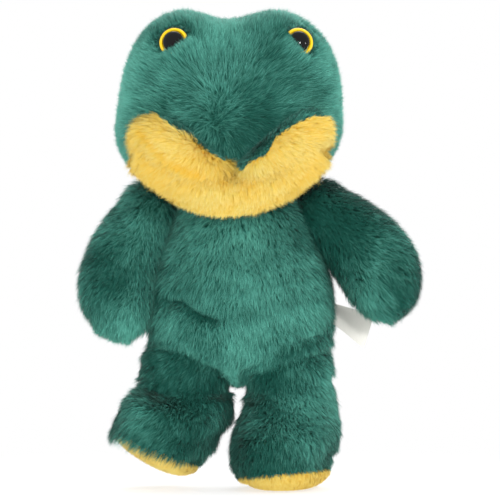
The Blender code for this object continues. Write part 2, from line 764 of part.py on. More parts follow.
def build_head(fur, lip_fur, filling, root):
    """The head's skin and filling, and the two lips that lie on it."""
    neck = empty("head_body", (0, 0, NECK_BASE), root)
    room = neck_cutter(root)
    fine = head_form(SEGMENTS, HEAD_STATIONS)
    coarse = head_form(COARSE_SEGMENTS, COARSE_STATIONS)
    skin = add_object("head_skin", resized(fine, 0), fur, neck)
    cavity = as_cutter(add_object("head_cavity", resized(coarse, -FABRIC), None, neck))
    outside = as_cutter(add_object("head_outside", resized(fine, SEAM_GAP), None, neck))
    stuffing = add_object("head_stuffing", resized(coarse, -FABRIC - FILLING_GAP), filling, neck)
    rooms = [room]
    for name, side in (("left", 1), ("right", -1)):
        rooms.append(as_cutter(add_object("shoulder_room_" + name, shoulder_sweep(name), None, root)))
    boolean(skin, cavity)
    for space in rooms:
        boolean(skin, space)
        boolean(stuffing, space)
    lips = {name: add_object(name, lip_mesh(lip), lip_fur, neck) for name, lip in LIPS.items()}
    guard = lip_mesh(grown_lip(LIPS["lower_lip"]))
    lower_guard = as_cutter(add_object("lower_lip_guard", guard, None, neck))
    for lip in lips.values():
        boolean(lip, outside)
        for space in rooms:
            boolean(lip, space)
    boolean(lips["upper_lip"], lower_guard)
    return neck, skin, stuffing


def grown_lip(lip):
    """A lip that is thicker by one seam gap all round, for cutting its neighbour."""
    grown = SimpleNamespace(**vars(lip))
    grown.half_height += SEAM_GAP
    grown.half_thickness += SEAM_GAP
    return grown


# Eyes


def eye_matrix(side):
    """Where one eye sits: its seat in the fabric, with Z pointing out along the shank."""
    x = side * EYE_SIDE + EYE_SHIFT
    axis = Vector((side * EYE_AXIS_SHARES[0], EYE_AXIS_SHARES[1], EYE_AXIS_SHARES[2])).normalized()
    seat = Vector(head_place(face_point(x, EYE_RISE))) - axis * EYE_DEPTH
    return Matrix.Translation(seat) @ axis.to_track_quat("Z", "Y").to_matrix().to_4x4()


def rounded(radius_from, radius_to, height_from, height_to):
    """A quarter-round run of (radius, height) that leaves straight up and ends level."""
    out = []
    for k in range(1, EYE_ROUND_STEPS + 1):
        angle = math.pi / 2 * k / EYE_ROUND_STEPS
        radius = radius_to + (radius_from - radius_to) * math.cos(angle)
        out.append((radius, height_from + (height_to - height_from) * math.sin(angle)))
    return out


def iris_profile():
    """The yellow ring: a shank, a flange with a rounded rim and a seat for the dome."""
    rim = EYE_RADIUS - EYE_RIM / 2
    seat_radius = EYE_RADIUS - EYE_RIM
    outer = rounded(EYE_RADIUS, rim, EYE_FLANGE / 3, EYE_FLANGE)
    inner = rounded(seat_radius, rim, PUPIL_SEAT, EYE_FLANGE)[-2::-1]
    deep = -EYE_SHANK_LENGTH
    shank = ((0, deep), (EYE_SHANK_RADIUS, deep), (EYE_SHANK_RADIUS, 0), (EYE_RADIUS, 0))
    return [*shank, *outer, *inner, (seat_radius, PUPIL_SEAT), (0, PUPIL_SEAT)]


def pupil_profile():
    """The black dome that sits in the ring."""
    radius = EYE_RADIUS - EYE_RIM - SEAM_GAP
    base = PUPIL_SEAT + SEAM_GAP
    dome = rounded(radius, 0, EYE_FLANGE, EYE_FLANGE + PUPIL_DOME)
    return [(0, base), (radius, base), (radius, EYE_FLANGE), *dome]


def eye_room_profile():
    """The room in the skin and the filling for the flange, the shank and the washer."""
    deep = EYE_SHANK_LENGTH + SEAM_GAP
    hole = EYE_SHANK_RADIUS + SEAM_GAP
    behind = SEAM_GAP + WEB
    back = behind + WASHER_THICKNESS + 2 * SEAM_GAP
    washer = WASHER_RADIUS + SEAM_GAP
    flange = EYE_RADIUS + SEAM_GAP
    shank = [(0, -deep), (hole, -deep), (hole, -back), (washer, -back), (washer, -behind), (hole, -behind)]
    profile = [*shank, (hole, -SEAM_GAP), (flange, -SEAM_GAP), (flange, OVERRUN), (0, OVERRUN)]
    outside_flats = 1 / math.cos(math.pi / EYE_ROOM_SEGMENTS)
    return [(radius * outside_flats, height) for radius, height in profile]


def washer_mesh():
    """The lock washer: a flat ring whose hole has teeth that grip the shank."""
    hole = EYE_SHANK_RADIUS + SEAM_GAP
    top = -2 * SEAM_GAP - WEB
    bm = bmesh.new()
    count = 4 * WASHER_TEETH
    loops = []
    for height in (top - WASHER_THICKNESS, top):
        for outer in (True, False):
            loop = []
            for k in range(count):
                angle = math.tau * k / count
                radius = WASHER_RADIUS if outer else hole + WASHER_TOOTH * (k % 4 >= 2)
                loop.append(bm.verts.new((radius * math.cos(angle), radius * math.sin(angle), height)))
            loops.append(loop)
    low_out, low_in, high_out, high_in = loops
    for first, second in ((low_out, high_out), (high_out, high_in), (high_in, low_in), (low_in, low_out)):
        for i in range(count):
            j = (i + 1) % count
            bm.faces.new((first[i], first[j], second[j], second[i]))
    return bm


def build_eye(name, side, plastics, neck, skin, stuffing):
    """One eye: ring, dome and washer, with their room cut in the skin and the filling."""
    place = eye_matrix(side)
    pieces = {
        "eye_iris_" + name: (lathe(iris_profile(), EYE_SEGMENTS), plastics["iris"]),
        "eye_pupil_" + name: (lathe(pupil_profile(), EYE_SEGMENTS), plastics["pupil"]),
        "eye_washer_" + name: (washer_mesh(), plastics["washer"]),
    }
    for piece, (mesh, finish) in pieces.items():
        add_object(piece, mesh, finish, neck).matrix_local = place
    space = lathe(eye_room_profile(), EYE_ROOM_SEGMENTS)
    room = as_cutter(add_object("eye_room_" + name, space, None, neck))
    room.matrix_local = place
    boolean(skin, room)
    boolean(stuffing, room)


def main():
    """Build the frog."""
    clear_scene()
    green = material("green_pile", GREEN, 0.95)
    lip_yellow = material("yellow_pile", YELLOW, 0.95)
    sole_yellow = material("yellow_short_pile", YELLOW, 0.9)
    filling = material("polyester_filling", FILLING, 0.95)
    satin = material("satin_ribbon", SATIN, 0.5)
    plastics = {
        "iris": material("yellow_plastic", AMBER, 0.25),
        "pupil": material("black_plastic", BLACK, 0.08),
        "washer": material("white_plastic", WHITE, 0.4),
    }
    root, torso_outside = build_torso(green, filling)
    build_label(satin, root, torso_outside)
    neck, head_skin, head_stuffing = build_head(green, lip_yellow, filling, root)
    for name, side in (("left", 1), ("right", -1)):
        build_arm(name, side, green, filling, root, torso_outside)
        build_leg(name, green, sole_yellow, filling, root)
        build_eye(name, side, plastics, neck, head_skin, head_stuffing)


main()
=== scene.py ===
"""The look of a plush frog in long green pile: fur, mouth, eyes, soles, label and studio."""

import logging
import math
from collections.abc import Callable
from dataclasses import dataclass, field, replace
from enum import Enum

import bpy
import numpy as np
from mathutils import Matrix, Vector


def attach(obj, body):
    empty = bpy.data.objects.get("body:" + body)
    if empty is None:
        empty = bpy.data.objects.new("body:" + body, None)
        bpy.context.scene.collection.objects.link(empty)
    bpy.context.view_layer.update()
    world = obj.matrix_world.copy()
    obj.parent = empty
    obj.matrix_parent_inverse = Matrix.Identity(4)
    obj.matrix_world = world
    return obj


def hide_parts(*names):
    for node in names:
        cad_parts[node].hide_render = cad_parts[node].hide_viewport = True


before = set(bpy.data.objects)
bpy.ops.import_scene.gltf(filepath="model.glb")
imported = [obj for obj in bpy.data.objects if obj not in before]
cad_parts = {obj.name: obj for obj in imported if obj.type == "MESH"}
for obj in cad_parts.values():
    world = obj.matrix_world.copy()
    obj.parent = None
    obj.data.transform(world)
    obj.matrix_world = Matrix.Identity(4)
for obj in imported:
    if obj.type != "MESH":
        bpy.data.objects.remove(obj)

logging.basicConfig(level=logging.INFO, format="%(message)s")
LOG = logging.getLogger("frog")

Colour = tuple[float, float, float]
Points = np.ndarray
Field = Callable[[Points, Points], Points]

FRAME_PLACE = np.array((-0.0072, 0.00956, 0.0))
NECK_BASE = 0.182
HIP_HEIGHT = 0.072
HIDE_DEPTH = 0.0052
FLOOR_GAP = 0.0004
# Painted rim light: the fur's tone is raised where the hide turns to the outline, standing in for light through
# the fringe.
RIM_LIGHT = 0.12
RIM_BAND = (0.55, 0.95)
FILLING_DEPTH = 0.0085
LOW_PILE_DEPTH = 0.0022
SOFT_SHINE = 0.15


class Side(Enum):
    """The frog's own sides."""

    LEFT = 1
    RIGHT = -1

    @property
    def word(self) -> str:
        """The side's name in lower case, as the pieces use it."""
        return self.name.lower()


# Small helpers


def unit(vectors: Points) -> Points:
    """The same vectors at length one."""
    return vectors / np.maximum(np.linalg.norm(vectors, axis=-1, keepdims=True), 1e-12)


def smoothstep(low: float, high: float, values: Points) -> Points:
    """Zero up to low, one from high, and a smooth rise between."""
    share = np.clip((values - low) / (high - low), 0, 1)
    return share * share * (3 - 2 * share)


def smooth_rows(rows: list, steps: int) -> Points:
    """Rows read from a smooth curve through the given rows.

    Args:
        rows: the rows of numbers that the curve passes through.
        steps: the number of steps from one given row to the next.

    Returns:
        An array with the rows in between.
    """
    points = np.array(rows, dtype=float)
    padded = np.vstack([2 * points[0] - points[1], points, 2 * points[-1] - points[-2]])
    out = []
    for i in range(len(points) - 1):
        a, b, c, d = padded[i : i + 4]
        square = (2 * a - 5 * b + 4 * c - d) / 2
        cube = (3 * b - a - 3 * c + d) / 2
        for k in range(steps):
            t = k / steps
            out.append(b + (c - a) / 2 * t + square * t**2 + cube * t**3)
    out.append(points[-1])
    return np.array(out)


def section(centre: Points, first: Points, second: Points, sizes: tuple, power: float, count: int) -> Points:
    """A closed oval section with its own reach on each of four sides.

    Args:
        centre: the section's middle.
        first: its first axis.
        second: its second axis.
        sizes: the reach along +first, -first, +second and -second.
        power: 2 for an ellipse, more for a squarer form.
        count: the number of points.

    Returns:
        The points in order round the section.
    """
    angles = np.arange(count) * math.tau / count
    along = np.sign(np.cos(angles)) * np.abs(np.cos(angles)) ** (2 / power)
    up = np.sign(np.sin(angles)) * np.abs(np.sin(angles)) ** (2 / power)
    reach_first = np.where(along > 0, sizes[0], sizes[1])
    reach_second = np.where(up > 0, sizes[2], sizes[3])
    middle = np.array(centre)
    return middle + np.outer(along * reach_first, first) + np.outer(up * reach_second, second)


def level(place: tuple, sizes: tuple, power: float, count: int) -> Points:
    """A level section whose sizes are its reaches to +X, -X, +Y and -Y."""
    return section(np.array(place), np.array((1, 0, 0)), np.array((0, 1, 0)), sizes, power, count)


def round_cap(radius: float, rise: float, base: float, steps: int, count: int) -> list[Points]:
    """The level rings of a round cap, from just above its foot to just below its top.

    Args:
        radius: the cap's radius at its foot.
        rise: its height.
        base: the height of its foot.
        steps: the number of steps to the top.
        count: the number of points in a ring.

    Returns:
        The rings, lowest first.
    """
    rings = []
    for k in range(1, steps):
        angle = math.pi / 2 * k / steps
        rings.append(level((0, 0, base + rise * math.sin(angle)), (radius * math.cos(angle),) * 4, 2, count))
    return rings


def two_triangles(a: Points, b: Points, c: Points, d: Points) -> Points:
    """Two triangles for each four-sided face, whose vertex numbers are given corner by corner."""
    return np.concatenate([np.stack([a, b, c], -1).reshape(-1, 3), np.stack([a, c, d], -1).reshape(-1, 3)])


def facing_aside(normals: Points) -> Points:
    """Zero for surfaces that face the viewer of the front view and one for those at the outline: where the painted
    rim light goes.
    """
    return smoothstep(*RIM_BAND, np.hypot(normals[:, 0], normals[:, 2]))


class Drift:
    """A smooth random value for each place in space, from a few waves."""

    def __init__(self, size: float, seed: int, waves: int = 14) -> None:
        """Picks the waves.

        Args:
            size: the usual size of one light or dark patch, in metres.
            seed: fixes the pattern.
            waves: the number of waves.

        Returns:
            Nothing.
        """
        rng = np.random.default_rng(seed)
        ways = unit(rng.normal(size=(waves, 3)))
        self.directions = ways * (math.pi / size) * rng.uniform(0.6, 1.5, (waves, 1))
        self.phases = rng.uniform(0, math.tau, waves)
        self.scale = math.sqrt(2 / waves)

    def at(self, points: Points) -> Points:
        """The values at the points, mostly within -1.5 to 1.5.

        Args:
            points: places in space.

        Returns:
            One value for each point.
        """
        total = np.zeros(len(points))
        for direction, phase in zip(self.directions, self.phases):
            total += np.cos(points @ direction + phase)
        return total * self.scale


@dataclass
class Form:
    """A closed surface in triangles, with a normal at each of its vertices."""

    vertices: Points
    triangles: Points
    normals: Points = field(default_factory=lambda: np.zeros((0, 3)))

    def __post_init__(self) -> None:
        """Works out the normals."""
        corners = self.vertices[self.triangles]
        faces = np.cross(corners[:, 1] - corners[:, 0], corners[:, 2] - corners[:, 0])
        normals = np.zeros_like(self.vertices)
        for k in range(3):
            np.add.at(normals, self.triangles[:, k], faces)
        self.normals = unit(normals)

    @classmethod
    def loft(cls, rings: list[Points], start: Points | None = None, end: Points | None = None) -> "Form":
        """A closed surface over a row of rings.

        Args:
            rings: the rings in order, each with the same number of points.
            start: the point that closes it before the first ring, or None for that ring's middle.
            end: the point that closes it after the last ring, or None for that ring's middle.

        Returns:
            The surface, with its faces turned outwards.
        """
        rows, count = len(rings), len(rings[0])
        start = rings[0].mean(axis=0) if start is None else np.array(start)
        end = rings[-1].mean(axis=0) if end is None else np.array(end)
        vertices = np.vstack([*rings, start, end])
        grid = np.arange(rows * count).reshape(rows, count)
        a, b = grid[:-1], grid[1:]
        c, d = np.roll(b, -1, axis=1), np.roll(a, -1, axis=1)
        sides = two_triangles(a, b, c, d)
        first, last = grid[0], grid[-1]
        cap_start = np.stack([np.full(count, rows * count), first, np.roll(first, -1)], -1)
        cap_end = np.stack([np.full(count, rows * count + 1), np.roll(last, -1), last], -1)
        made = cls(vertices, np.concatenate([sides, cap_start, cap_end]))
        corners = made.vertices[made.triangles] - made.vertices.mean(axis=0)
        volume = np.einsum("ij,ij->i", corners[:, 0], np.cross(corners[:, 1], corners[:, 2])).sum()
        return cls(vertices, made.triangles[:, ::-1]) if volume < 0 else made

    def moved(self, matrix: Matrix | None = None, shift: Points | None = None) -> "Form":
        """The form turned by a matrix and then shifted.

        Args:
            matrix: turns and moves it, or None.
            shift: moves it after that, or None.

        Returns:
            The moved form.
        """
        vertices = self.vertices
        if matrix is not None:
            vertices = vertices @ np.array(matrix.to_3x3()).T + np.array(matrix.to_translation())
        if shift is not None:
            vertices = vertices + shift
        return Form(vertices, self.triangles)

    def inset(self, depth: float | Points) -> "Form":
        """The form with its surface moved inwards by a depth."""
        depths = np.broadcast_to(depth, (len(self.vertices),))
        return Form(self.vertices - self.normals * depths[:, None], self.triangles)

    def sample(self, density: float, rng: np.random.Generator) -> tuple[Points, Points]:
        """Random places on the surface.

        Args:
            density: the number of places for each square metre.
            rng: the source of the random numbers.

        Returns:
            The places and the surface's normals there.
        """
        corners = self.vertices[self.triangles]
        faces = np.cross(corners[:, 1] - corners[:, 0], corners[:, 2] - corners[:, 0])
        areas = np.linalg.norm(faces, axis=1) / 2
        count = int(areas.sum() * density)
        picks = rng.choice(len(areas), size=count, p=areas / areas.sum())
        r, s = np.sqrt(rng.random(count)), rng.random(count)
        shares = np.stack([1 - r, r * (1 - s), r * s], axis=1)
        places = np.einsum("ij,ijk->ik", shares, corners[picks])
        normals = np.einsum("ij,ijk->ik", shares, self.normals[self.triangles[picks]])
        return places, unit(normals)


# Finishes


def new_material(name: str, roughness: float, specular: float) -> bpy.types.Material:
    """A new material with its roughness and shine.

    Args:
        name: the material's name.
        roughness: how matt it is, from 0 to 1.
        specular: how strongly it shines.

    Returns:
        The material.
    """
    made = bpy.data.materials.new(name)
    made.use_nodes = True
    shader = made.node_tree.nodes["Principled BSDF"]
    shader.inputs["Roughness"].default_value = roughness
    shader.inputs["Specular IOR Level"].default_value = specular
    return made


@dataclass(frozen=True)
class PileFinish:
    """The fibres of a fur: dark and light strands, each from root to tip; the darkening towards the root is
    painted shade deep in the pile, and the light strands' pale tips hold a painted sheen.
    """

    name: str
    slot: str
    dark: tuple[Colour, Colour, Colour]
    light: tuple[Colour, Colour, Colour]
    middle: float = 0.45
    roughness: float = 0.62
    sheen: float = 0.07

    def material(self) -> bpy.types.Material:
        """The material, made once, whose colour follows the strand's own coordinates.

        Returns:
            The material.
        """
        if self.name in bpy.data.materials:
            return bpy.data.materials[self.name]
        made = new_material(self.name, self.roughness, SOFT_SHINE)
        nodes, links = made.node_tree.nodes, made.node_tree.links
        shader = nodes["Principled BSDF"]
        shader.inputs["Sheen Weight"].default_value = self.sheen
        shader.inputs["Sheen Roughness"].default_value = 0.4
        uv = nodes.new("ShaderNodeUVMap")
        uv.uv_map = "OFBake"
        split = nodes.new("ShaderNodeSeparateXYZ")
        links.new(uv.outputs["UV"], split.inputs["Vector"])
        mix = nodes.new("ShaderNodeMix")
        mix.data_type = "RGBA"
        links.new(split.outputs["X"], mix.inputs["Factor"])
        for socket, colours in ((6, self.dark), (7, self.light)):
            ramp = nodes.new("ShaderNodeValToRGB")
            stops = ramp.color_ramp.elements
            stops[0].position, stops[0].color = 0.05, (*colours[0], 1)
            stops[1].position, stops[1].color = 0.98, (*colours[2], 1)
            inner = stops.new(self.middle)
            inner.color = (*colours[1], 1)
            links.new(split.outputs["Y"], ramp.inputs["Fac"])
            links.new(ramp.outputs["Color"], mix.inputs[socket])
        links.new(mix.outputs[2], shader.inputs["Base Color"])
        return made


@dataclass(frozen=True)
class ClothFinish:
    """A plain matt cloth with a fine knit."""

    name: str
    slot: str
    colour: Colour
    thread: Colour
    scale: float = 900.0
    roughness: float = 0.9

    def material(self) -> bpy.types.Material:
        """The material, made once.

        Returns:
            The material.
        """
        if self.name in bpy.data.materials:
            return bpy.data.materials[self.name]
        made = new_material(self.name, self.roughness, SOFT_SHINE)
        nodes, links = made.node_tree.nodes, made.node_tree.links
        shader = nodes["Principled BSDF"]
        place = nodes.new("ShaderNodeTexCoord")
        knit = nodes.new("ShaderNodeTexNoise")
        knit.inputs["Scale"].default_value = self.scale
        knit.inputs["Detail"].default_value = 1.0
        links.new(place.outputs["Object"], knit.inputs["Vector"])
        mix = nodes.new("ShaderNodeMix")
        mix.data_type = "RGBA"
        mix.inputs[6].default_value = (*self.colour, 1)
        mix.inputs[7].default_value = (*self.thread, 1)
        links.new(knit.outputs["Fac"], mix.inputs["Factor"])
        links.new(mix.outputs[2], shader.inputs["Base Color"])
        return made


@dataclass(frozen=True)
class PlasticFinish:
    """Moulded plastic, more or less glossy."""

    name: str
    slot: str
    colour: Colour
    roughness: float
    specular: float = 0.5

    def material(self) -> bpy.types.Material:
        """The material, made once.

        Returns:
            The material.
        """
        if self.name in bpy.data.materials:
            return bpy.data.materials[self.name]
        made = new_material(self.name, self.roughness, self.specular)
        made.node_tree.nodes["Principled BSDF"].inputs["Base Color"].default_value = (*self.colour, 1)
        return made


# Each ramp runs root, middle, tip: the dark roots are painted shade deep in the pile, the pale light tips a
# painted sheen.
GREEN_PILE = PileFinish(
    name="green_pile_fibre",
    slot="green_pile",
    dark=((0.003, 0.036, 0.027), (0.005, 0.064, 0.047), (0.007, 0.100, 0.073)),
    light=((0.020, 0.176, 0.132), (0.066, 0.335, 0.262), (0.180, 0.580, 0.465)),
)
YELLOW_PILE = PileFinish(
    name="yellow_pile_fibre",
    slot="yellow_pile",
    dark=((0.820, 0.450, 0.032), (0.830, 0.510, 0.045), (0.840, 0.570, 0.070)),
    light=((0.810, 0.580, 0.066), (0.820, 0.670, 0.125), (0.835, 0.750, 0.340)),
    sheen=0.0,
)
SOLE_PILE = PileFinish(
    name="yellow_short_pile_fibre",
    slot="yellow_short_pile",
    dark=((0.740, 0.410, 0.032), (0.780, 0.510, 0.060), (0.800, 0.600, 0.110)),
    light=((0.780, 0.500, 0.055), (0.820, 0.640, 0.140), (0.840, 0.720, 0.270)),
)
GREEN_KNIT = ClothFinish("green_knit", "green_pile", (0.012, 0.085, 0.063), (0.018, 0.110, 0.080))
YELLOW_KNIT = ClothFinish("yellow_knit", "yellow_pile", (0.930, 0.560, 0.050), (0.950, 0.620, 0.080))
SOLE_KNIT = ClothFinish("sole_knit", "yellow_short_pile", (0.880, 0.560, 0.060), (0.940, 0.640, 0.090))
WADDING = ClothFinish("wadding", "polyester_filling", (0.70, 0.70, 0.68), (0.86, 0.86, 0.84), 300.0)
SATIN = ClothFinish("satin_weave", "satin_ribbon", (0.69, 0.68, 0.63), (0.82, 0.81, 0.75), 2500.0, 0.5)
AMBER = PlasticFinish("amber_plastic", "yellow_plastic", (0.84, 0.55, 0.008), 0.30, 0.3)
BLACK = PlasticFinish("black_gloss", "black_plastic", (0.004, 0.004, 0.004), 0.05, 0.20)
WHITE = PlasticFinish("white_nylon", "white_plastic", (0.82, 0.82, 0.80), 0.45)

Finish = PileFinish | ClothFinish | PlasticFinish


def add_piece(
    name: str,
    vertices: Points,
    triangles: Points,
    finish: Finish,
    body: str,
    uvs: Points | None = None,
    normals: Points | None = None,
) -> bpy.types.Object:
    """Makes one piece of the frog and lets it ride on its body.

    Args:
        name: the piece's name.
        vertices: its vertices in the frame.
        triangles: its faces as rows of three vertex numbers.
        finish: what it is made of.
        body: the body that it moves with.
        uvs: one place on the finish for each vertex, or None.
        normals: one shading direction for each vertex, or None.

    Returns:
        The piece.
    """
    mesh = bpy.data.meshes.new(name)
    mesh.vertices.add(len(vertices))
    mesh.vertices.foreach_set("co", np.ascontiguousarray(vertices, dtype=np.float32).ravel())
    mesh.loops.add(len(triangles) * 3)
    mesh.loops.foreach_set("vertex_index", np.ascontiguousarray(triangles, dtype=np.int32).ravel())
    mesh.polygons.add(len(triangles))
    mesh.polygons.foreach_set("loop_start", np.arange(0, len(triangles) * 3, 3, dtype=np.int32))
    mesh.update(calc_edges=True)
    mesh.shade_smooth()
    if uvs is not None:
        layer = mesh.uv_layers.new(name="OFBake")
        corners = np.ascontiguousarray(uvs[triangles.ravel()], dtype=np.float32)
        layer.uv.foreach_set("vector", corners.ravel())
    if normals is not None:
        mesh.normals_split_custom_set_from_vertices(normals.astype(np.float32))
    mesh.materials.append(finish.material())
    piece = bpy.data.objects.new(name, mesh)
    bpy.context.scene.collection.objects.link(piece)
    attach(piece, body)
    return piece


def add_padded(
    name: str, form: Form, finish: Finish, body: str, stands_for: str, triangles: Points | None = None
) -> bpy.types.Object:
    """Makes one soft padded piece in the place of a CAD piece.

    Args:
        name: the piece's name.
        form: its form.
        finish: what it is made of.
        body: the body that it moves with.
        stands_for: the CAD piece that it replaces.
        triangles: those of the form's faces that it has, or None for all.

    Returns:
        The piece.
    """
    piece = add_piece(name, form.vertices, form.triangles if triangles is None else triangles, finish, body)
    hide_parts(stands_for)
    return piece


# Fur


@dataclass(frozen=True)
class Pile:
    """How one fur grows: its strands' length, lean, number and tufts."""

    finish: PileFinish
    length: float = 0.0080
    root_lean: float = 25.0
    tip_lean: float = 62.0
    tufts: float = 1400000.0
    strands: int = 3
    tuft_radius: float = 0.0006
    gather: float = 0.22
    width: float = 0.00029
    wander: float = 0.14
    stray: float = 0.17
    length_spread: float = 0.12
    longest: float = 1.40
    tone_spread: float = 0.13
    grain: float = 0.19
    tilt: float = 0.55
    free: float = 0.0
    free_band: tuple[float, float] = (0.15, 0.75)
    inner_spread: float = 0.6
    lean_spread: float = 7.0
    gather_power: float = 1.6
    twist: float = 0.6
    taper: float = 0.5
    under_share: float = 0.25
    out_share: float = 0.75
    run_share: float = 0.10
    wave_size: float = 0.016
    wave_count: int = 10
    broad_patches: tuple[float, float] = (0.12, 0.032)
    small_patches: tuple[float, float] = (0.07, 0.009)
    edge_tone: float = 0.004
    rows: int = 3

    def grow(
        self,
        name: str,
        form: Form,
        body: str,
        flow: Field,
        seed: int,
        keep: Field | None = None,
        tone: Field | None = None,
        size: Field | None = None,
        settle: Callable[[Points], Points] | None = None,
        parts: dict[str, Callable[[Points], Points]] | None = None,
    ) -> list[bpy.types.Object]:
        """Grows the fur on a hide.

        Args:
            name: the fur's name.
            form: the hide that the strands grow from.
            body: the body that the fur moves with.
            flow: gives the direction in which the strands lie at places with normals.
            seed: fixes the random numbers.
            keep: gives True where strands grow, or None for everywhere.
            tone: gives a lighter or darker tone at each place, about -0.5 to 0.5, which carries the painted shade
                and painted light.
            size: gives the share of the usual length at each place.
            settle: moves the strands' points off what they lie on.
            parts: names of the pieces that the fur is made in, each with the test for its tufts.

        Returns:
            The fur's pieces.
        """
        rng = np.random.default_rng(seed)
        tufts, strands, width = self.tufts, self.strands, self.width
        places, normals = form.sample(tufts, rng)
        if keep is not None:
            kept = keep(places, normals)
            places, normals = places[kept], normals[kept]
        lie = flow(places, normals)
        lie = lie / np.maximum(np.linalg.norm(lie, axis=1, keepdims=True), 1)
        waves = [Drift(self.wave_size, seed * 10 + k, self.wave_count).at(places) for k in range(3)]
        lie = lie + np.stack(waves, axis=1) * self.wander + rng.normal(size=lie.shape) * self.stray
        lie = lie - normals * np.einsum("ij,ij->i", lie, normals)[:, None]
        upright = self.free * (1 - smoothstep(*self.free_band, np.linalg.norm(lie, axis=1)))
        lie = unit(lie)
        shade = 0.5 + self.broad_patches[0] * Drift(self.broad_patches[1], seed + 71).at(places)
        shade = shade + self.small_patches[0] * Drift(self.small_patches[1], seed + 72).at(places)
        shade += rng.normal(size=len(places)) * self.tone_spread
        if tone is not None:
            shade += tone(places, normals)
        length = self.length * (1 + rng.normal(size=len(places)) * self.length_spread)
        if size is not None:
            length *= size(places, normals)
        made = []
        for part, test in (parts or {name: lambda p: np.ones(len(p), dtype=bool)}).items():
            mask = test(places)
            chosen = [values[mask] for values in (places, normals, lie, upright, shade, length)]
            made.append(self.part(part, body, *chosen, width, settle, rng))
        return made

    def part(
        self,
        name: str,
        body: str,
        places: Points,
        normals: Points,
        lie: Points,
        upright: Points,
        shade: Points,
        length: Points,
        width: float,
        settle: Callable[[Points], Points] | None,
        rng: np.random.Generator,
    ) -> bpy.types.Object:
        """Makes one piece of the fur from its tufts.

        Args:
            name: the piece's name.
            body: the body that it moves with.
            places: the tufts' places.
            normals: the hide's normals there.
            lie: the direction in which each tuft lies.
            upright: the share by which each tuft stands up from its usual lean.
            shade: each tuft's tone.
            length: each tuft's length.
            width: the width of a strand at its root.
            settle: moves the strands' points off what they lie on.
            rng: the source of the random numbers.

        Returns:
            The piece.
        """
        count = self.strands
        number = len(places) * count

        def spread(values: Points) -> Points:
            """The tufts' values, once for each of their strands."""
            return np.repeat(values, count, axis=0)

        across = unit(np.cross(normals, lie))
        offsets = rng.normal(size=(number, 2)) * self.tuft_radius * self.inner_spread
        roots = spread(places) + spread(across) * offsets[:, :1] + spread(lie) * offsets[:, 1:]
        out = spread(normals)
        way = spread(lie) + rng.normal(size=(number, 3)) * self.stray
        way = unit(way - out * np.einsum("ij,ij->i", way, out)[:, None])
        lengths = spread(length) * (1 + rng.normal(size=number) * self.length_spread * self.inner_spread)
        lengths = np.minimum(lengths, self.length * self.longest)
        leans = np.radians(np.linspace(self.root_lean, self.tip_lean, self.rows - 1))
        lift = rng.normal(size=number) * math.radians(self.lean_spread)
        curves = [roots]
        centre = [spread(places)]
        for k, lean in enumerate(leans):
            step = lengths[:, None] / (self.rows - 1)
            lean = lean * (1 - spread(upright))
            leant = out * np.cos(lean + lift)[:, None] + way * np.sin(lean + lift)[:, None]
            curves.append(curves[-1] + step * leant)
            straight = out * np.cos(lean)[:, None] + spread(lie) * np.sin(lean)[:, None]
            centre.append(centre[-1] + spread(length)[:, None] / (self.rows - 1) * straight)
        points = np.stack(curves, axis=1)
        middles = np.stack(centre, axis=1)
        shares = (np.arange(self.rows) / (self.rows - 1)) ** self.gather_power * self.gather
        points += (middles - points) * shares[None, :, None]
        if settle is not None:
            points = settle(points.reshape(-1, 3)).reshape(points.shape)
        points[..., 2] = np.maximum(points[..., 2], FLOOR_GAP)
        tones = np.clip(spread(shade) + rng.normal(size=number) * self.grain, 0.02, 0.98)
        return self.ribbons(name, body, points, out, tones, width, rng)

    def ribbons(
        self,
        name: str,
        body: str,
        points: Points,
        out: Points,
        tones: Points,
        width: float,
        rng: np.random.Generator,
    ) -> bpy.types.Object:
        """Turns strands into flat tapered ribbons.

        Args:
            name: the piece's name.
            body: the body that it moves with.
            points: each strand's points, from root to tip.
            out: the hide's normal at each strand.
            tones: each strand's tone.
            width: the width of a strand at its root.
            rng: the source of the random numbers.

        Returns:
            The piece.
        """
        number, rows = len(points), self.rows
        out = unit(out * np.where(out[:, 2:] < 0, (1, 1, self.under_share), (1, 1, 1)))
        run = unit(points[:, -1] - points[:, 0])
        side = unit(np.cross(run, out))
        face = np.cross(side, run)
        twist = rng.normal(size=number) * self.twist
        side, face = (
            side * np.cos(twist)[:, None] + face * np.sin(twist)[:, None],
            face * np.cos(twist)[:, None] - side * np.sin(twist)[:, None],
        )
        widths = width * (1 - np.arange(rows - 1) / (rows - 1)) ** self.taper / 2
        half = side[:, None, :] * widths[None, :, None]
        left, right = points[:, :-1] - half, points[:, :-1] + half
        pairs = np.stack([left, right], axis=2).reshape(number, -1, 3)
        vertices = np.concatenate([pairs, points[:, -1:]], axis=1)
        per = vertices.shape[1]
        faces = []
        for k in range(rows - 2):
            a, b, c, d = 2 * k, 2 * k + 1, 2 * k + 3, 2 * k + 2
            faces += [(a, b, c), (a, c, d)]
        faces.append((2 * rows - 4, 2 * rows - 3, 2 * rows - 2))
        triangles = (np.arange(number)[:, None, None] * per + np.array(faces)[None]).reshape(-1, 3)
        along = np.repeat(np.arange(rows - 1) / (rows - 1), 2).tolist() + [1.0]
        beside = [-self.edge_tone, self.edge_tone] * (rows - 1) + [0.0]
        uvs = np.stack(
            [tones[:, None] + np.array(beside)[None], np.broadcast_to(np.array(along), (number, per))], axis=-1
        ).reshape(-1, 2)
        normals = unit(out * self.out_share + face * self.tilt + run * self.run_share)
        normals = np.repeat(normals, per, axis=0)
        return add_piece(name, vertices.reshape(-1, 3), triangles, self.finish, body, uvs, normals)


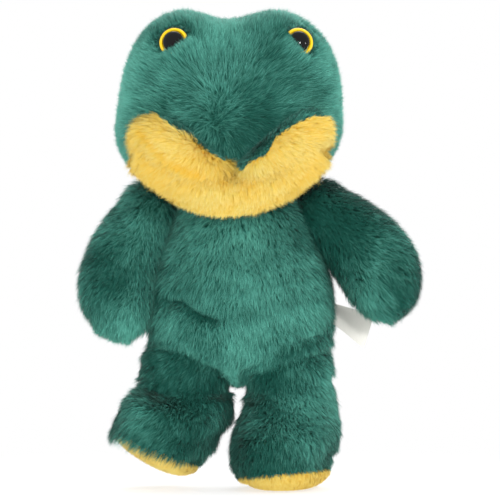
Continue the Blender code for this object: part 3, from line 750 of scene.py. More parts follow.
LONG_PILE = Pile(GREEN_PILE)
LIP_PILE = Pile(
    YELLOW_PILE,
    length=0.0068,
    root_lean=34.0,
    tip_lean=68.0,
    tufts=2500000.0,
    strands=4,
    tuft_radius=0.0005,
    width=0.00024,
    gather=0.15,
    wander=0.12,
    stray=0.14,
    length_spread=0.20,
    tone_spread=0.15,
    grain=0.24,
    tilt=0.25,
    free=0.35,
)
SHORT_PILE = Pile(
    SOLE_PILE,
    length=0.0038,
    root_lean=32.0,
    tip_lean=72.0,
    tufts=1600000.0,
    strands=4,
    tuft_radius=0.0006,
    width=0.00028,
    gather=0.10,
    tone_spread=0.08,
    grain=0.10,
    tilt=0.20,
)


SEAT_PILE = replace(LONG_PILE, length=0.0042, root_lean=35.0, tip_lean=60.0, tufts=1700000.0)
TIP_PILE = replace(LONG_PILE, tufts=2400000.0, wander=0.05, stray=0.09, length_spread=0.06)
LID_PILE = replace(
    LONG_PILE,
    root_lean=15.0,
    tip_lean=88.0,
    tufts=1700000.0,
    strands=4,
    gather=0.10,
    wander=0.06,
    stray=0.10,
    length_spread=0.06,
    rows=6,
)


@dataclass(frozen=True)
class Patch:
    """A patch of darker or lighter fur tone round one place of the front view, partly the fur's own lie and partly
    painted shade and painted light.
    """

    middle: tuple[float, float]
    sizes: tuple[float, float]
    tone: float

    def at(self, points: Points) -> Points:
        """What it adds to the tone at each place of the front."""
        away = (points[:, [0, 2]] - np.array(self.middle)) / np.array(self.sizes)
        return self.tone * np.exp(-(away**2).sum(axis=1)) * (points[:, 1] < 0.02)


@dataclass(frozen=True)
class Crease:
    """A fold in the front of a hide, along a line in the front view, with painted shade along it."""

    line: tuple[tuple[float, float], ...]
    width: float
    depth: float
    shadow: float

    def share(self, points: Points) -> Points:
        """One on the line and zero away from it, for points at the front.

        Args:
            points: places on the hide.

        Returns:
            The share for each place.
        """
        flat = points[:, [0, 2]]
        nearest = np.full(len(points), 1e9)
        for a, b in zip(self.line[:-1], self.line[1:]):
            start, run = np.array(a), np.array(b) - np.array(a)
            along = np.clip(((flat - start) @ run) / (run @ run), 0, 1)
            nearest = np.minimum(nearest, np.linalg.norm(flat - start - along[:, None] * run, axis=1))
        return np.exp(-((nearest / self.width) ** 2)) * (points[:, 1] < 0.012)


# Head, mouth and eyes


@dataclass(frozen=True)
class HeadShape:
    """The head's sizes, from its own middle."""

    lift: float = 0.044
    shift: float = -0.0055
    forward: float = 0.003
    lean: float = 0.055
    taper: float = 0.06
    half_width: float = 0.070
    top: float = 0.076
    bottom: float = 0.043
    front: float = 0.058
    back: float = 0.052
    dip: float = 0.0106
    dip_width: float = 0.024
    dip_side: float = -0.005
    fall: float = 0.0058
    top_power: float = 3.2
    bottom_power: float = 2.3
    depth_power: float = 2.6
    upper_power: float = 2.7
    lower_power: float = 2.2

    def place(self, points: Points) -> Points:
        """Points of the head's own frame, moved into the frog's frame with the head's lean.

        Args:
            points: points about the head's middle.

        Returns:
            The same points in the frog's frame.
        """
        moved = np.array(points, dtype=float)
        moved[..., 0] *= 1 - self.taper * np.maximum(moved[..., 2], 0) / self.top
        moved[..., 0] += self.shift + self.lean * moved[..., 2]
        moved[..., 1] -= self.forward
        moved[..., 2] += self.lift + NECK_BASE
        return moved + FRAME_PLACE

    def reach(self, x: float) -> tuple[float, float, float, float]:
        """The top, bottom, front and back reach of the section at one distance from the middle.

        Args:
            x: the distance to the frog's left.

        Returns:
            The four reaches.
        """
        share = min(abs(x) / self.half_width, 1.0)
        dip = self.dip * math.exp(-(((x - self.dip_side) / self.dip_width) ** 2))
        dip += self.fall * max(x, 0) / self.half_width
        top = max(self.top * (1 - share**self.top_power) ** (1 / self.top_power) - dip, 0)
        bottom = self.bottom * (1 - share**self.bottom_power) ** (1 / self.bottom_power)
        depth = (1 - share**self.depth_power) ** (1 / self.depth_power)
        return top, bottom, depth * self.front, depth * self.back

    def form(self, segments: int, stations: int) -> Form:
        """The head's outer form, lofted from side to side.

        Args:
            segments: the number of points in a section.
            stations: the number of steps from side to side.

        Returns:
            The form.
        """
        rings = []
        for k in range(1, stations):
            x = -self.half_width * math.cos(math.pi * k / stations)
            top, bottom, front, back = self.reach(x)
            angles = np.arange(segments) * math.tau / segments
            power = np.where(np.sin(angles) > 0, self.upper_power, self.lower_power)
            y = np.sign(np.cos(angles)) * np.abs(np.cos(angles)) ** (2 / power)
            z = np.sign(np.sin(angles)) * np.abs(np.sin(angles)) ** (2 / power)
            y = y * np.where(y > 0, back, front)
            z = z * np.where(z > 0, top, bottom)
            rings.append(self.place(np.column_stack([np.full(segments, x), y, z])))
        ends = [self.place(np.array((side * self.half_width, 0, 0))) for side in (-1, 1)]
        return Form.loft(rings, ends[0], ends[1])

    def face_point(self, x: float, z: float) -> Points:
        """The point of the head's front at one place of the front view, in the head's own frame.

        Args:
            x: the place's distance to the frog's left.
            z: its height over the head's middle.

        Returns:
            The point.
        """
        top, bottom, front, _ = self.reach(x)
        reach, power = (top, self.upper_power) if z > 0 else (bottom, self.lower_power)
        share = min(abs(z) / reach, 0.985) if reach > 0 else 0.985
        return np.array((x, -front * (1 - share**power) ** (1 / power), math.copysign(share * reach, z)))

    def face_normal(self, x: float, z: float) -> Points:
        """The outward direction of the head's front at one place of the front view.

        Args:
            x: the place's distance to the frog's left.
            z: its height over the head's middle.

        Returns:
            The direction, at length one.
        """
        step = self.half_width * 0.01
        across = self.face_point(x + step, z) - self.face_point(x - step, z)
        upward = self.face_point(x, z + step) - self.face_point(x, z - step)
        return unit(np.cross(across, upward))


HEAD_SHAPE = HeadShape()


@dataclass(frozen=True)
class LipShape:
    """One padded roll of the mouth."""

    low: float
    half_height: float
    half_thickness: float
    back_share: float
    lift: float
    forward: float
    path: tuple[tuple[float, float, float], ...]
    mouth_half_width: float = 0.058
    mouth_rise: float = 0.034
    end_power: float = 7.0
    section_power: float = 2.2
    seat_share: float = 0.80
    fill_up: float = 0.0
    fill_down: float = 0.0

    def place(self, x: float, z: float) -> tuple[Points, Points]:
        """The middle of the roll and its outward direction at one place of the front view.

        Args:
            x: the place's distance to the frog's left.
            z: its height over the head's middle.

        Returns:
            The middle and the direction, in the head's own frame.
        """
        seat = max(z, -self.seat_share * HEAD_SHAPE.reach(x)[1])
        normal = HEAD_SHAPE.face_normal(x, seat)
        middle = HEAD_SHAPE.face_point(x, seat) + normal * self.lift
        return np.array((middle[0], middle[1] - self.forward, z)), normal

    def form(self, stations: int, segments: int, inset: float = 0.0) -> Form:
        """The roll's form, made thinner all round by the inset.

        Args:
            stations: the number of steps along the mouth.
            segments: the number of points in a section.
            inset: how much thinner it is all round.

        Returns:
            The form.
        """
        share = 1 - 3.0 * inset / self.mouth_half_width
        half, rise = share * self.mouth_half_width, self.mouth_rise
        rows = [(x * half, self.low + z * rise, width) for x, z, width in self.path]
        path = smooth_rows(rows, 24)
        shares = (1 - np.cos(np.linspace(0, math.pi, stations + 1))) / 2
        picks = np.rint(shares * (len(path) - 1)).astype(int)
        centres = [self.place(path[pick][0], path[pick][1])[0] for pick in picks]
        rings = []
        for k in range(1, stations):
            x, z, width = path[picks[k]]
            _, normal = self.place(x, z)
            along = unit(centres[min(k + 2, stations)] - centres[max(k - 2, 0)])
            across = unit(np.cross(normal, along))
            outward = np.cross(along, across)
            end = (1 - abs(2 * k / stations - 1) ** self.end_power) ** (1 / self.end_power) * width
            high = max(self.half_height * end - inset, 0.0006)
            thick = max(self.half_thickness * end - inset, 0.0006)
            up, down = high + self.fill_up * end**0.25, high + self.fill_down * end**0.25
            first, second = (up, down) if across[2] > 0 else (down, up)
            sizes = (first, second, thick, thick * self.back_share)
            rings.append(section(centres[k], across, outward, sizes, self.section_power, segments))
        return Form.loft([HEAD_SHAPE.place(ring) for ring in rings])


UPPER_LIP = LipShape(
    low=-0.0310,
    half_height=0.0105,
    half_thickness=0.0120,
    back_share=0.45,
    lift=0.0020,
    forward=0.0020,
    fill_down=0.0045,
    path=(
        (-1.0, 0.78, 0.92),
        (-0.72, 0.72, 1.12),
        (-0.30, 0.28, 1.0),
        (0.12, 0.0, 0.92),
        (0.52, 0.46, 1.0),
        (0.84, 0.82, 1.12),
        (1.02, 0.96, 1.05),
    ),
)
LOWER_LIP = LipShape(
    low=-0.0435,
    half_height=0.0090,
    half_thickness=0.0120,
    back_share=1.0,
    lift=0.0035,
    forward=0.0045,
    fill_up=0.0107,
    path=(
        (-0.98, 0.70, 0.88),
        (-0.72, 0.44, 0.98),
        (-0.30, 0.08, 1.0),
        (0.12, 0.0, 0.95),
        (0.54, 0.20, 1.08),
        (0.84, 0.54, 1.08),
        (1.0, 0.82, 1.0),
    ),
)


@dataclass(frozen=True)
class Eye:
    """One safety eye: a ring on a shank, a black dome and a lock washer behind the cloth."""

    side: Side
    cover: tuple[float, float]
    cover_edge: float = 0.0021
    across: float = 0.0405
    shift: float = 0.0017
    rise: float = 0.052
    radius: float = 0.009
    sunk: float = 0.0032
    flange: float = 0.0024
    rim: float = 0.0022
    shank_radius: float = 0.0019
    shank_length: float = 0.012
    seat: float = 0.0010
    dome: float = 0.0034
    washer_radius: float = 0.0068
    washer_thickness: float = 0.0013
    gap: float = 0.0003
    aim: tuple[float, float, float] = (0.22, -0.93, 0.28)
    cloth_low: float = -0.0065
    cloth_waist: float = -0.0025
    cloth_top: float = -0.0002
    cloth_flare: float = 0.0018
    cloth_neck: float = 0.0007
    open_side: float = 0.0045
    lid_band: tuple[float, float] = (0.0002, 0.0145)
    lid_side: float = 0.0030
    lid_root: float = 0.0012
    lid_reach: float = 0.74
    skirt: float = 0.0012
    clearance: float = 0.0004
    segments: int = 64

    @property
    def matrix(self) -> Matrix:
        """Where the eye sits, with Z pointing out along its shank.

        Returns:
            The matrix from the eye's own frame to the frog's.
        """
        x = self.side.value * self.across + self.shift
        axis = Vector((self.side.value * self.aim[0], *self.aim[1:])).normalized()
        seat = Vector(HEAD_SHAPE.place(HEAD_SHAPE.face_point(x, self.rise))) - axis * self.sunk
        return Matrix.Translation(seat) @ axis.to_track_quat("Z", "Y").to_matrix().to_4x4()

    def rounded(self, start: float, end: float, low: float, high: float) -> list[tuple[float, float]]:
        """A quarter-round run of (radius, height) that leaves straight up and ends level.

        Args:
            start: the radius at its start.
            end: the radius at its end.
            low: the height at its start.
            high: the height at its end.

        Returns:
            The run's points after its start.
        """
        steps = 10
        angles = [math.pi / 2 * k / steps for k in range(1, steps + 1)]
        return [(end + (start - end) * math.cos(a), low + (high - low) * math.sin(a)) for a in angles]

    def turned(self, profile: list[tuple[float, float]]) -> Form:
        """The form that a profile makes round the eye's axis."""
        rings = [level((0, 0, height), (max(radius, 1e-5),) * 4, 2, self.segments) for radius, height in profile]
        return Form.loft(rings).moved(self.matrix)

    def lathe(self, name: str, profile: list[tuple[float, float]], finish: Finish) -> bpy.types.Object:
        """Turns a profile round the eye's axis into one piece.

        Args:
            name: the piece's name.
            profile: pairs of radius and height.
            finish: what the piece is made of.

        Returns:
            The piece.
        """
        form = self.turned(profile)
        piece = add_piece(name, form.vertices, form.triangles, finish, "head")
        piece.data.set_sharp_from_angle(angle=math.radians(38))
        return piece

    def build(self) -> None:
        """Makes the ring and the dome, gives the washer its white finish, and makes the cloth seat and its fur."""
        rim, seat_radius = self.radius - self.rim / 2, self.radius - self.rim
        outer = self.rounded(self.radius, rim, self.flange / 3, self.flange)
        inner = self.rounded(seat_radius, rim, self.seat, self.flange)[-2::-1]
        deep = -self.shank_length
        shank = [(0, deep), (self.shank_radius, deep), (self.shank_radius, 0), (self.radius, 0)]
        bottom = [(seat_radius, self.seat), (0, self.seat)]
        ring = self.lathe(f"eye_ring_{self.side.word}", [*shank, *outer, *inner, *bottom], AMBER)
        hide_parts(f"eye_iris_{self.side.word}")
        radius, base = seat_radius - self.gap, self.seat + self.gap
        dome = self.rounded(radius, 0, self.flange, self.flange + self.dome)
        profile = [(0, base), (radius, base), (radius, self.flange), *dome]
        pupil = self.lathe(f"eye_dome_{self.side.word}", profile, BLACK)
        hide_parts(f"eye_pupil_{self.side.word}")
        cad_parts[f"eye_washer_{self.side.word}"].data.materials[0] = WHITE.material()
        low, top = self.cloth_low, self.cloth_top
        wide, neck = self.radius + self.cloth_flare, self.radius - self.cloth_neck
        seat = self.turned([(0, low), (wide, low), (self.radius, self.cloth_waist), (neck, top), (0, top)])
        add_piece(f"eye_seat_{self.side.word}", seat.vertices, seat.triangles, GREEN_KNIT, "head")
        SEAT_PILE.grow(
            f"eye_seat_fur_{self.side.word}",
            seat,
            "head",
            lambda places, normals: self.spread(places),
            seed=80 + self.side.value,
            keep=lambda places, normals: self.beside(places, normals),
            # The seat's fur is darkened all over as painted shade round the ring.
            tone=lambda places, normals: np.full(len(places), -0.22),
            settle=self.settle,
        )

    def spread(self, places: Points) -> Points:
        """The way outwards from the eye's axis."""
        local = self.local(places) * np.array((1, 1, 0))
        return unit(local) @ np.array(self.matrix.to_3x3()).T

    def beside(self, places: Points, normals: Points) -> Points:
        """Where the seat's fur grows: away from the covered part of the ring.

        Args:
            places: places on the seat.
            normals: the seat's normals there; not used.

        Returns:
            True where fur grows.
        """
        toward, _ = self.inward(places)
        radius = np.linalg.norm(self.local(places)[:, :2], axis=1)
        return (radius > self.radius - self.clearance) & (toward < self.open_side)

    def inward(self, places: Points) -> tuple[Points, Points]:
        """How far places lie from the eye's middle towards the fur that covers it, and to that way's side.

        Args:
            places: places in the frog's frame.

        Returns:
            The two distances of each place.
        """
        away = (places - np.array(self.matrix.to_translation()))[:, [0, 2]]
        way = np.array(self.cover)
        return away @ way, away @ np.array((-way[1], way[0]))

    def grow_lid(self, hide: Form, tone: Field) -> None:
        """Grows the fur that lies over the eye's inner lower edge.

        Args:
            hide: the head's hide.
            tone: the tone of the head's fur.

        Returns:
            Nothing.
        """

        def keep(places: Points, normals: Points) -> Points:
            """Only beside the ring, on the covered side.

            Args:
                places: places on the hide.
                normals: the hide's normals there; not used.

            Returns:
                True where fur grows.
            """
            toward, across = self.inward(places)
            radius = np.hypot(toward, across)
            near, far = self.radius + self.lid_band[0], self.lid_band[1]
            return (radius > near) & (radius < far) & (toward > self.lid_side) & (places[:, 1] < 0)

        root, full_reach = self.cover_edge - self.lid_root, self.lid_reach * LID_PILE.length
        LID_PILE.grow(
            "eye_fur_" + self.side.word,
            hide,
            "head",
            lambda places, normals: np.broadcast_to((-self.cover[0], 0, -self.cover[1]), places.shape),
            seed=70 + self.side.value,
            keep=keep,
            tone=tone,
            size=lambda places, normals: (self.inward(places)[0] - root) / full_reach,
            settle=self.settle,
        )

    def local(self, points: Points) -> Points:
        """Points of the frog's frame in the eye's own frame."""
        inverse = self.matrix.inverted()
        return points @ np.array(inverse.to_3x3()).T + np.array(inverse.to_translation())

    def settle(self, points: Points) -> Points:
        """Lifts strand points that would lie inside the ring or the dome onto them.

        Args:
            points: the strands' points.

        Returns:
            The same points, lifted where they have to be.
        """
        near = np.linalg.norm(points - np.array(self.matrix.to_translation()), axis=1) < 0.016
        local = self.local(points[near])
        radius = np.linalg.norm(local[:, :2], axis=1)
        seat_radius = self.radius - self.rim
        dome = self.flange + self.dome * np.sqrt(np.clip(1 - (radius / seat_radius) ** 2, 0, 1))
        outer = self.radius + self.skirt
        skirt = self.flange * (1 - smoothstep(self.radius, outer, radius))
        top = np.where(radius < seat_radius, dome, skirt) + self.clearance
        inside = (radius < outer) & (local[:, 2] > -0.001)
        local[:, 2] = np.where(inside, np.maximum(local[:, 2], top), local[:, 2])
        matrix = self.matrix
        points[near] = local @ np.array(matrix.to_3x3()).T + np.array(matrix.to_translation())
        return points


@dataclass(frozen=True)
class Head:
    """The head: hide, filling, fur, lips and eyes."""

    shape: HeadShape = HEAD_SHAPE
    snout: tuple[float, float, float] = (-0.01645, -0.055, 0.233)
    lip_middle: tuple[float, float, float] = (-0.0091, 0, 0.2170)
    # Painted rim light where the head turns to its outline.
    rim: float = 0.10
    crown: float = 0.250
    snout_band: tuple[float, float] = (0.004, 0.030)
    behind_band: tuple[float, float] = (-0.005, 0.045)
    eye_pull: tuple[float, float] = (0.6, 0.016)
    eye_push: tuple[float, float] = (1.6, 0.013)
    ring_gap: float = 0.0008
    beside_eye: tuple[float, float] = (0.55, 0.0028)
    brow_shade: tuple[float, float] = (0.60, 0.006)
    tip_length: float = 0.45
    lip_tone_base: float = 0.06
    groove_band: tuple[float, float] = (0.15, 0.75)
    eyes: tuple[Eye, Eye] = (Eye(Side.LEFT, (-0.75, -0.66), 0.0032), Eye(Side.RIGHT, (0.51, -0.86), 0.0038))
    mouth_edge: tuple[tuple[float, float], ...] = (
        (-0.0742, 0.2285),
        (-0.0692, 0.2310),
        (-0.0562, 0.2310),
        (-0.0456, 0.2236),
        (-0.0376, 0.2192),
        (-0.0283, 0.2112),
        (-0.0177, 0.2050),
        (-0.0091, 0.2025),
        (-0.0029, 0.1994),
        (0.0021, 0.2050),
        (0.0102, 0.2093),
        (0.0157, 0.2180),
        (0.0275, 0.2266),
        (0.0387, 0.2310),
        (0.0505, 0.2298),
    )
    # Tone patches: the dark ones beside and below the snout are partly the fur's own lie and partly painted shade;
    # the light ones at the head's sides are painted rim light.
    patches: tuple[Patch, ...] = (
        Patch((-0.0310, 0.2330), (0.022, 0.020), -0.32),
        Patch((0.0100, 0.2300), (0.018, 0.018), -0.26),
        Patch((-0.0080, 0.2200), (0.020, 0.014), -0.26),
        Patch((-0.0560, 0.2500), (0.014, 0.010), -0.14),
        Patch((0.0380, 0.2500), (0.016, 0.014), -0.10),
        Patch((-0.0080, 0.2600), (0.050, 0.025), -0.10),
        Patch((0.0540, 0.2300), (0.010, 0.030), 0.16),
        Patch((-0.0720, 0.2550), (0.012, 0.018), 0.22),
        Patch((-0.0760, 0.2250), (0.008, 0.036), 0.10),
    )
    # Painted shade along the creases between the lip rolls; they have no depth.
    lip_creases: tuple[Crease, ...] = (
        Crease(
            (
                (-0.0625, 0.2225),
                (-0.0515, 0.2105),
                (-0.0440, 0.2043),
                (-0.0320, 0.2005),
                (-0.0210, 0.1937),
                (-0.0134, 0.1909),
            ),
            0.0016,
            0.0,
            0.70,
        ),
        Crease(((0.0000, 0.1905), (0.0133, 0.2000), (0.0238, 0.2087)), 0.0013, 0.0, 0.30),
    )

    def build(self) -> None:
        """Makes the head's pieces."""
        outer = self.shape.form(96, 80)
        hide = outer.inset(HIDE_DEPTH)
        add_padded("head_hide", hide, GREEN_KNIT, "head", "head_skin")
        add_padded("head_filling", outer.inset(FILLING_DEPTH), WADDING, "head", "head_stuffing")
        middle = float(FRAME_PLACE[1])
        LONG_PILE.grow(
            "head_fur",
            hide,
            "head",
            self.flow,
            seed=11,
            keep=self.keep,
            tone=self.tone,
            size=self.size,
            settle=self.settle,
            parts={
                "head_fur_face": lambda p: (p[:, 1] < middle) & (p[:, 2] < self.crown),
                "head_fur_crown": lambda p: (p[:, 1] < middle) & (p[:, 2] >= self.crown),
                "head_fur_back": lambda p: p[:, 1] >= middle,
            },
        )
        LOG.info("head: hide, filling and fur")
        self.build_lip("upper_lip", UPPER_LIP, 21)
        self.build_lip("lower_lip", LOWER_LIP, 22)
        for eye in self.eyes:
            eye.build()
            eye.grow_lid(hide, self.tone)
        LOG.info("head: eyes")

    def build_lip(self, name: str, shape: LipShape, seed: int) -> None:
        """Makes one lip: its padded core and its fur, and the snout's tip on the upper one.

        Args:
            name: the lip's name.
            shape: its sizes.
            seed: fixes its fur's random numbers.

        Returns:
            Nothing.
        """
        core = shape.form(90, 40, inset=LOW_PILE_DEPTH)
        add_padded(name + "_core", core, YELLOW_KNIT, "head", name)
        upper = shape is UPPER_LIP
        LIP_PILE.grow(
            name + "_fur",
            core,
            "head",
            lambda places, normals: self.lip_flow(places, normals, upper),
            seed=seed,
            keep=lambda places, normals: (normals[:, 1] < 0.80) & ~self.above_edge(places),
            tone=self.lip_tone,
            size=lambda places, normals: self.lip_size(normals, upper),
        )
        if upper:
            centres = core.vertices[core.triangles].mean(axis=1)
            facing = core.normals[core.triangles].mean(axis=1)
            tip = core.triangles[self.above_edge(centres) & (facing[:, 1] < 0.3)]
            add_piece("snout_tip_hide", core.vertices + core.normals * 0.0003, tip, GREEN_KNIT, "head")
            TIP_PILE.grow(
                "snout_tip_fur",
                core,
                "head",
                self.flow,
                seed=23,
                keep=lambda places, normals: (normals[:, 1] < 0.3) & self.above_edge(places),
                tone=self.tone,
                size=lambda places, normals: np.full(len(places), self.tip_length),
            )
        LOG.info("head: %s", name)

    def above_edge(self, places: Points) -> Points:
        """True above the mouth's upper edge, where the snout's green fur lies over the lip."""
        line = np.array(self.mouth_edge)
        return places[:, 2] > np.interp(places[:, 0], line[:, 0], line[:, 1])

    def lip_size(self, normals: Points, upper: bool) -> Points:
        """The lips' fur is longer in the groove between them and shorter under the lower one.

        Args:
            normals: the lip's normals.
            upper: True for the upper lip.

        Returns:
            The share of the usual length.
        """
        groove = smoothstep(*self.groove_band, normals[:, 2] * (-1 if upper else 1))
        other = smoothstep(0.15, 0.85, normals[:, 2] * (1 if upper else -1))
        return 1 + 0.05 * groove - (0.12 if upper else 0.38) * other

    def flow(self, places: Points, normals: Points) -> Points:
        """The head's fur runs away from the snout, and down at the back.

        Args:
            places: places on the hide, in the frog's frame.
            normals: the hide's normals there; not used.

        Returns:
            The direction at each place.
        """
        away = places - np.array(self.snout)
        away = unit(away) * (0.15 + 0.85 * smoothstep(*self.snout_band, np.linalg.norm(away, axis=1)))[:, None]
        behind = smoothstep(*self.behind_band, places[:, 1])[:, None]
        lie = away * (1 - behind) + np.array((0.0, 0.25, -1.0)) * behind
        for eye in self.eyes:
            local = np.linalg.norm(places - np.array(eye.matrix.to_translation()), axis=1)
            toward = unit(np.array(eye.matrix.to_translation()) - places)
            inner = np.einsum("ij,ij->i", toward, away) > 0.35
            pull = np.exp(-((local / self.eye_pull[1]) ** 2)) * inner
            push = np.exp(-((local / self.eye_push[1]) ** 2)) * ~inner
            lie = lie + toward * pull[:, None] * self.eye_pull[0] - toward * push[:, None] * self.eye_push[0]
        return lie

    def keep(self, places: Points, normals: Points) -> Points:
        """Fur grows outside the eyes' rings.

        Args:
            places: places on the hide, in the frog's frame.
            normals: the hide's normals there; not used.

        Returns:
            True where fur grows.
        """
        kept = np.ones(len(places), dtype=bool)
        for eye in self.eyes:
            local = eye.local(places)
            inside = np.linalg.norm(local[:, :2], axis=1) < eye.radius + self.ring_gap
            kept &= ~(inside & (np.abs(local[:, 2]) < 0.012))
        return kept

    def size(self, places: Points, normals: Points) -> Points:
        """The fur is short right beside the eyes' open side.

        Args:
            places: places on the hide, in the frog's frame.
            normals: the hide's normals there; not used.

        Returns:
            The share of the usual length.
        """
        size = np.ones(len(places))
        for eye in self.eyes:
            toward, across = eye.inward(places)
            cut, band = self.beside_eye
            beside = np.exp(-(((np.hypot(toward, across) - eye.radius) / band) ** 2)) * (places[:, 1] < 0)
            size -= cut * beside * (toward < 0.004)
        return size

    def tone(self, places: Points, normals: Points) -> Points:
        """Lighter on the forehead and at the head's sides, darker beside the snout and above the eyes: patches
        that are partly the fur's own lie and partly painted shade and light, painted rim light at the outline, and
        painted shade round the tops of the eyes.

        Args:
            places: places on the hide, in the frog's frame.
            normals: the hide's normals there.

        Returns:
            What it adds to the tone.
        """
        tone = sum(patch.at(places) for patch in self.patches) + self.rim * facing_aside(normals)
        for eye in self.eyes:
            local = eye.local(places)
            radius = np.linalg.norm(local[:, :2], axis=1)
            above = places[:, 2] > eye.matrix.to_translation().z - 0.002
            shade, band = self.brow_shade
            near = np.exp(-(((radius - eye.radius) / band) ** 2))
            tone -= shade * near * above * (np.abs(local[:, 2]) < 0.02)
        return tone

    def settle(self, points: Points) -> Points:
        """Keeps the fur off the eyes.

        Args:
            points: the strands' points.

        Returns:
            The same points, lifted where they have to be.
        """
        for eye in self.eyes:
            points = eye.settle(points)
        return points

    def lip_flow(self, places: Points, normals: Points, upper: bool) -> Points:
        """The lips' fur runs away from the snout, outwards at the rims and forwards in the groove.

        Args:
            places: places on the hide, in the frog's frame.
            normals: the hide's normals there.
            upper: True for the upper lip.

        Returns:
            The direction at each place.
        """
        away = unit((places - np.array(self.lip_middle)) * np.array((0.75, 0, 1)))
        groove = smoothstep(*self.groove_band, normals[:, 2] * (-1 if upper else 1))
        aside = smoothstep(0.3, 0.9, np.abs(normals[:, 0]))[:, None]
        rim = normals * np.array((1, 0, 1 if upper else 0.4)) * aside
        end = smoothstep(0.45, 0.90, np.abs(normals[:, 0]))[:, None]
        forward, down, round_end = np.array((0, -0.6, 0)), np.array((0, 0, -0.3)), np.array((0, 0.3, -0.6))
        return away + rim * 0.9 + groove[:, None] * forward + down + end * round_end

    def lip_tone(self, places: Points, normals: Points) -> Points:
        """The lips' fur is darker in their creases, as painted shade."""
        return self.lip_tone_base - sum(crease.shadow * crease.share(places) for crease in self.lip_creases)


# Torso and label


@dataclass(frozen=True)
class Torso:
    """The torso: hide, filling and fur; the label in its side seam is a piece of its own."""

    crotch: float = 0.0665
    shift: float = 0.0015
    half_width: float = 0.0585
    front: float = 0.047
    back: float = 0.044
    neck_radius: float = 0.036
    neck_dome: float = 0.0155
    filling_depth: float = 0.0095
    underside: float = 0.0042
    power: float = 2.25
    shares: tuple[tuple[float, float, float, float], ...] = (
        (0.025, 0.20, 0.26, 0.26),
        (0.10, 0.60, 0.64, 0.64),
        (0.19, 0.93, 0.88, 0.88),
        (0.28, 1.0, 0.97, 0.97),
        (0.40, 1.0, 1.0, 1.0),
        (0.55, 0.965, 1.0, 1.0),
        (0.70, 0.865, 0.94, 0.96),
        (0.83, 0.765, 0.87, 0.91),
        (0.93, 0.685, 0.80, 0.86),
    )
    # Folds over the belly and hips, each darkened by painted shade along its line.
    creases: tuple[Crease, ...] = (
        Crease(((-0.0511, 0.1184), (-0.0425, 0.1178), (-0.0326, 0.1110), (-0.0214, 0.1066)), 0.0033, 0.0052, 0.60),
        Crease(((0.0460, 0.0960), (0.0263, 0.0887), (0.0114, 0.0818), (-0.0029, 0.0730)), 0.0038, 0.0030, 0.35),
        Crease(((-0.0560, 0.0880), (-0.0370, 0.0840), (-0.0215, 0.0750)), 0.0040, 0.0020, 0.25),
    )
    # Tone patches: the dark ones beside the arms are painted shade where arm and body meet; the others are partly
    # the fur's own lie and partly painted shade and light.
    patches: tuple[Patch, ...] = (
        Patch((-0.0220, 0.1480), (0.012, 0.008), -0.16),
        Patch((0.0500, 0.1560), (0.016, 0.014), -0.40),
        Patch((-0.0560, 0.1420), (0.008, 0.022), -0.25),
        Patch((-0.0060, 0.1230), (0.030, 0.022), 0.08),
        Patch((0.0330, 0.0800), (0.018, 0.008), -0.12),
        Patch((0.0200, 0.1560), (0.018, 0.014), 0.06),
    )

    def form(self, segments: int, steps: int) -> Form:
        """The torso's outer form, with the round dome that the head turns on.

        Args:
            segments: the number of points in a section.
            steps: the number of steps between two given sections.

        Returns:
            The form.
        """
        rows = [
            (
                self.crotch + height * (NECK_BASE - self.crotch),
                width * self.half_width,
                front * self.front,
                back * self.back,
                self.power,
                self.shift,
            )
            for height, width, front, back in self.shares
        ]
        rows.append((NECK_BASE, self.neck_radius, self.neck_radius, self.neck_radius, 2.0, 0.0))
        rings = [
            level((shift, 0, height), (width, width, back, front), power, segments)
            for height, width, front, back, power, shift in smooth_rows(rows, steps)
        ]
        rings += round_cap(self.neck_radius, self.neck_dome, NECK_BASE, 8, segments)
        top = NECK_BASE + self.neck_dome
        return Form.loft(rings, (self.shift, 0, self.crotch), (0, 0, top)).moved(shift=FRAME_PLACE)

    def build(self) -> None:
        """Makes the torso's pieces."""
        outer = self.form(96, 8)
        depth = HIDE_DEPTH + sum(crease.share(outer.vertices) * crease.depth for crease in self.creases)
        depth -= self.underside * smoothstep(0.45, 0.95, -outer.normals[:, 2])
        hide = outer.inset(depth)
        add_padded("torso_hide", hide, GREEN_KNIT, "torso", "torso_skin")
        add_padded("torso_filling", outer.inset(self.filling_depth), WADDING, "torso", "torso_stuffing")
        middle = float(FRAME_PLACE[1])
        LONG_PILE.grow(
            "torso_fur",
            hide,
            "torso",
            self.flow,
            seed=31,
            keep=lambda places, normals: places[:, 2] < NECK_BASE + 0.004,
            tone=self.tone,
            size=self.size,
            parts={
                "torso_fur_front": lambda p: p[:, 1] < middle,
                "torso_fur_back": lambda p: p[:, 1] >= middle,
            },
        )
        LOG.info("torso: hide, filling and fur")

    def flow(self, places: Points, normals: Points) -> Points:
        """The torso's fur runs down and a little outwards."""
        side = (places[:, 0] - FRAME_PLACE[0]) / self.half_width
        return np.stack([side * 0.25, np.zeros(len(places)), -np.ones(len(places))], axis=1)

    def size(self, places: Points, normals: Points) -> Points:
        """Shorter fur on the underside, beside its middle."""
        return 1 - 0.30 * smoothstep(0.05, 0.50, -normals[:, 2]) * (np.abs(normals[:, 0]) > 0.1)

    def tone(self, places: Points, normals: Points) -> Points:
        """Painted shade in the folds and at the sides where the arms meet the body, with lighter and darker
        patches.

        Args:
            places: places on the hide, in the frog's frame.
            normals: the hide's normals there; not used.

        Returns:
            What it adds to the tone.
        """
        tone = sum(patch.at(places) for patch in self.patches) - 0.03
        for crease in self.creases:
            tone = tone - crease.shadow * crease.share(places)
        return tone


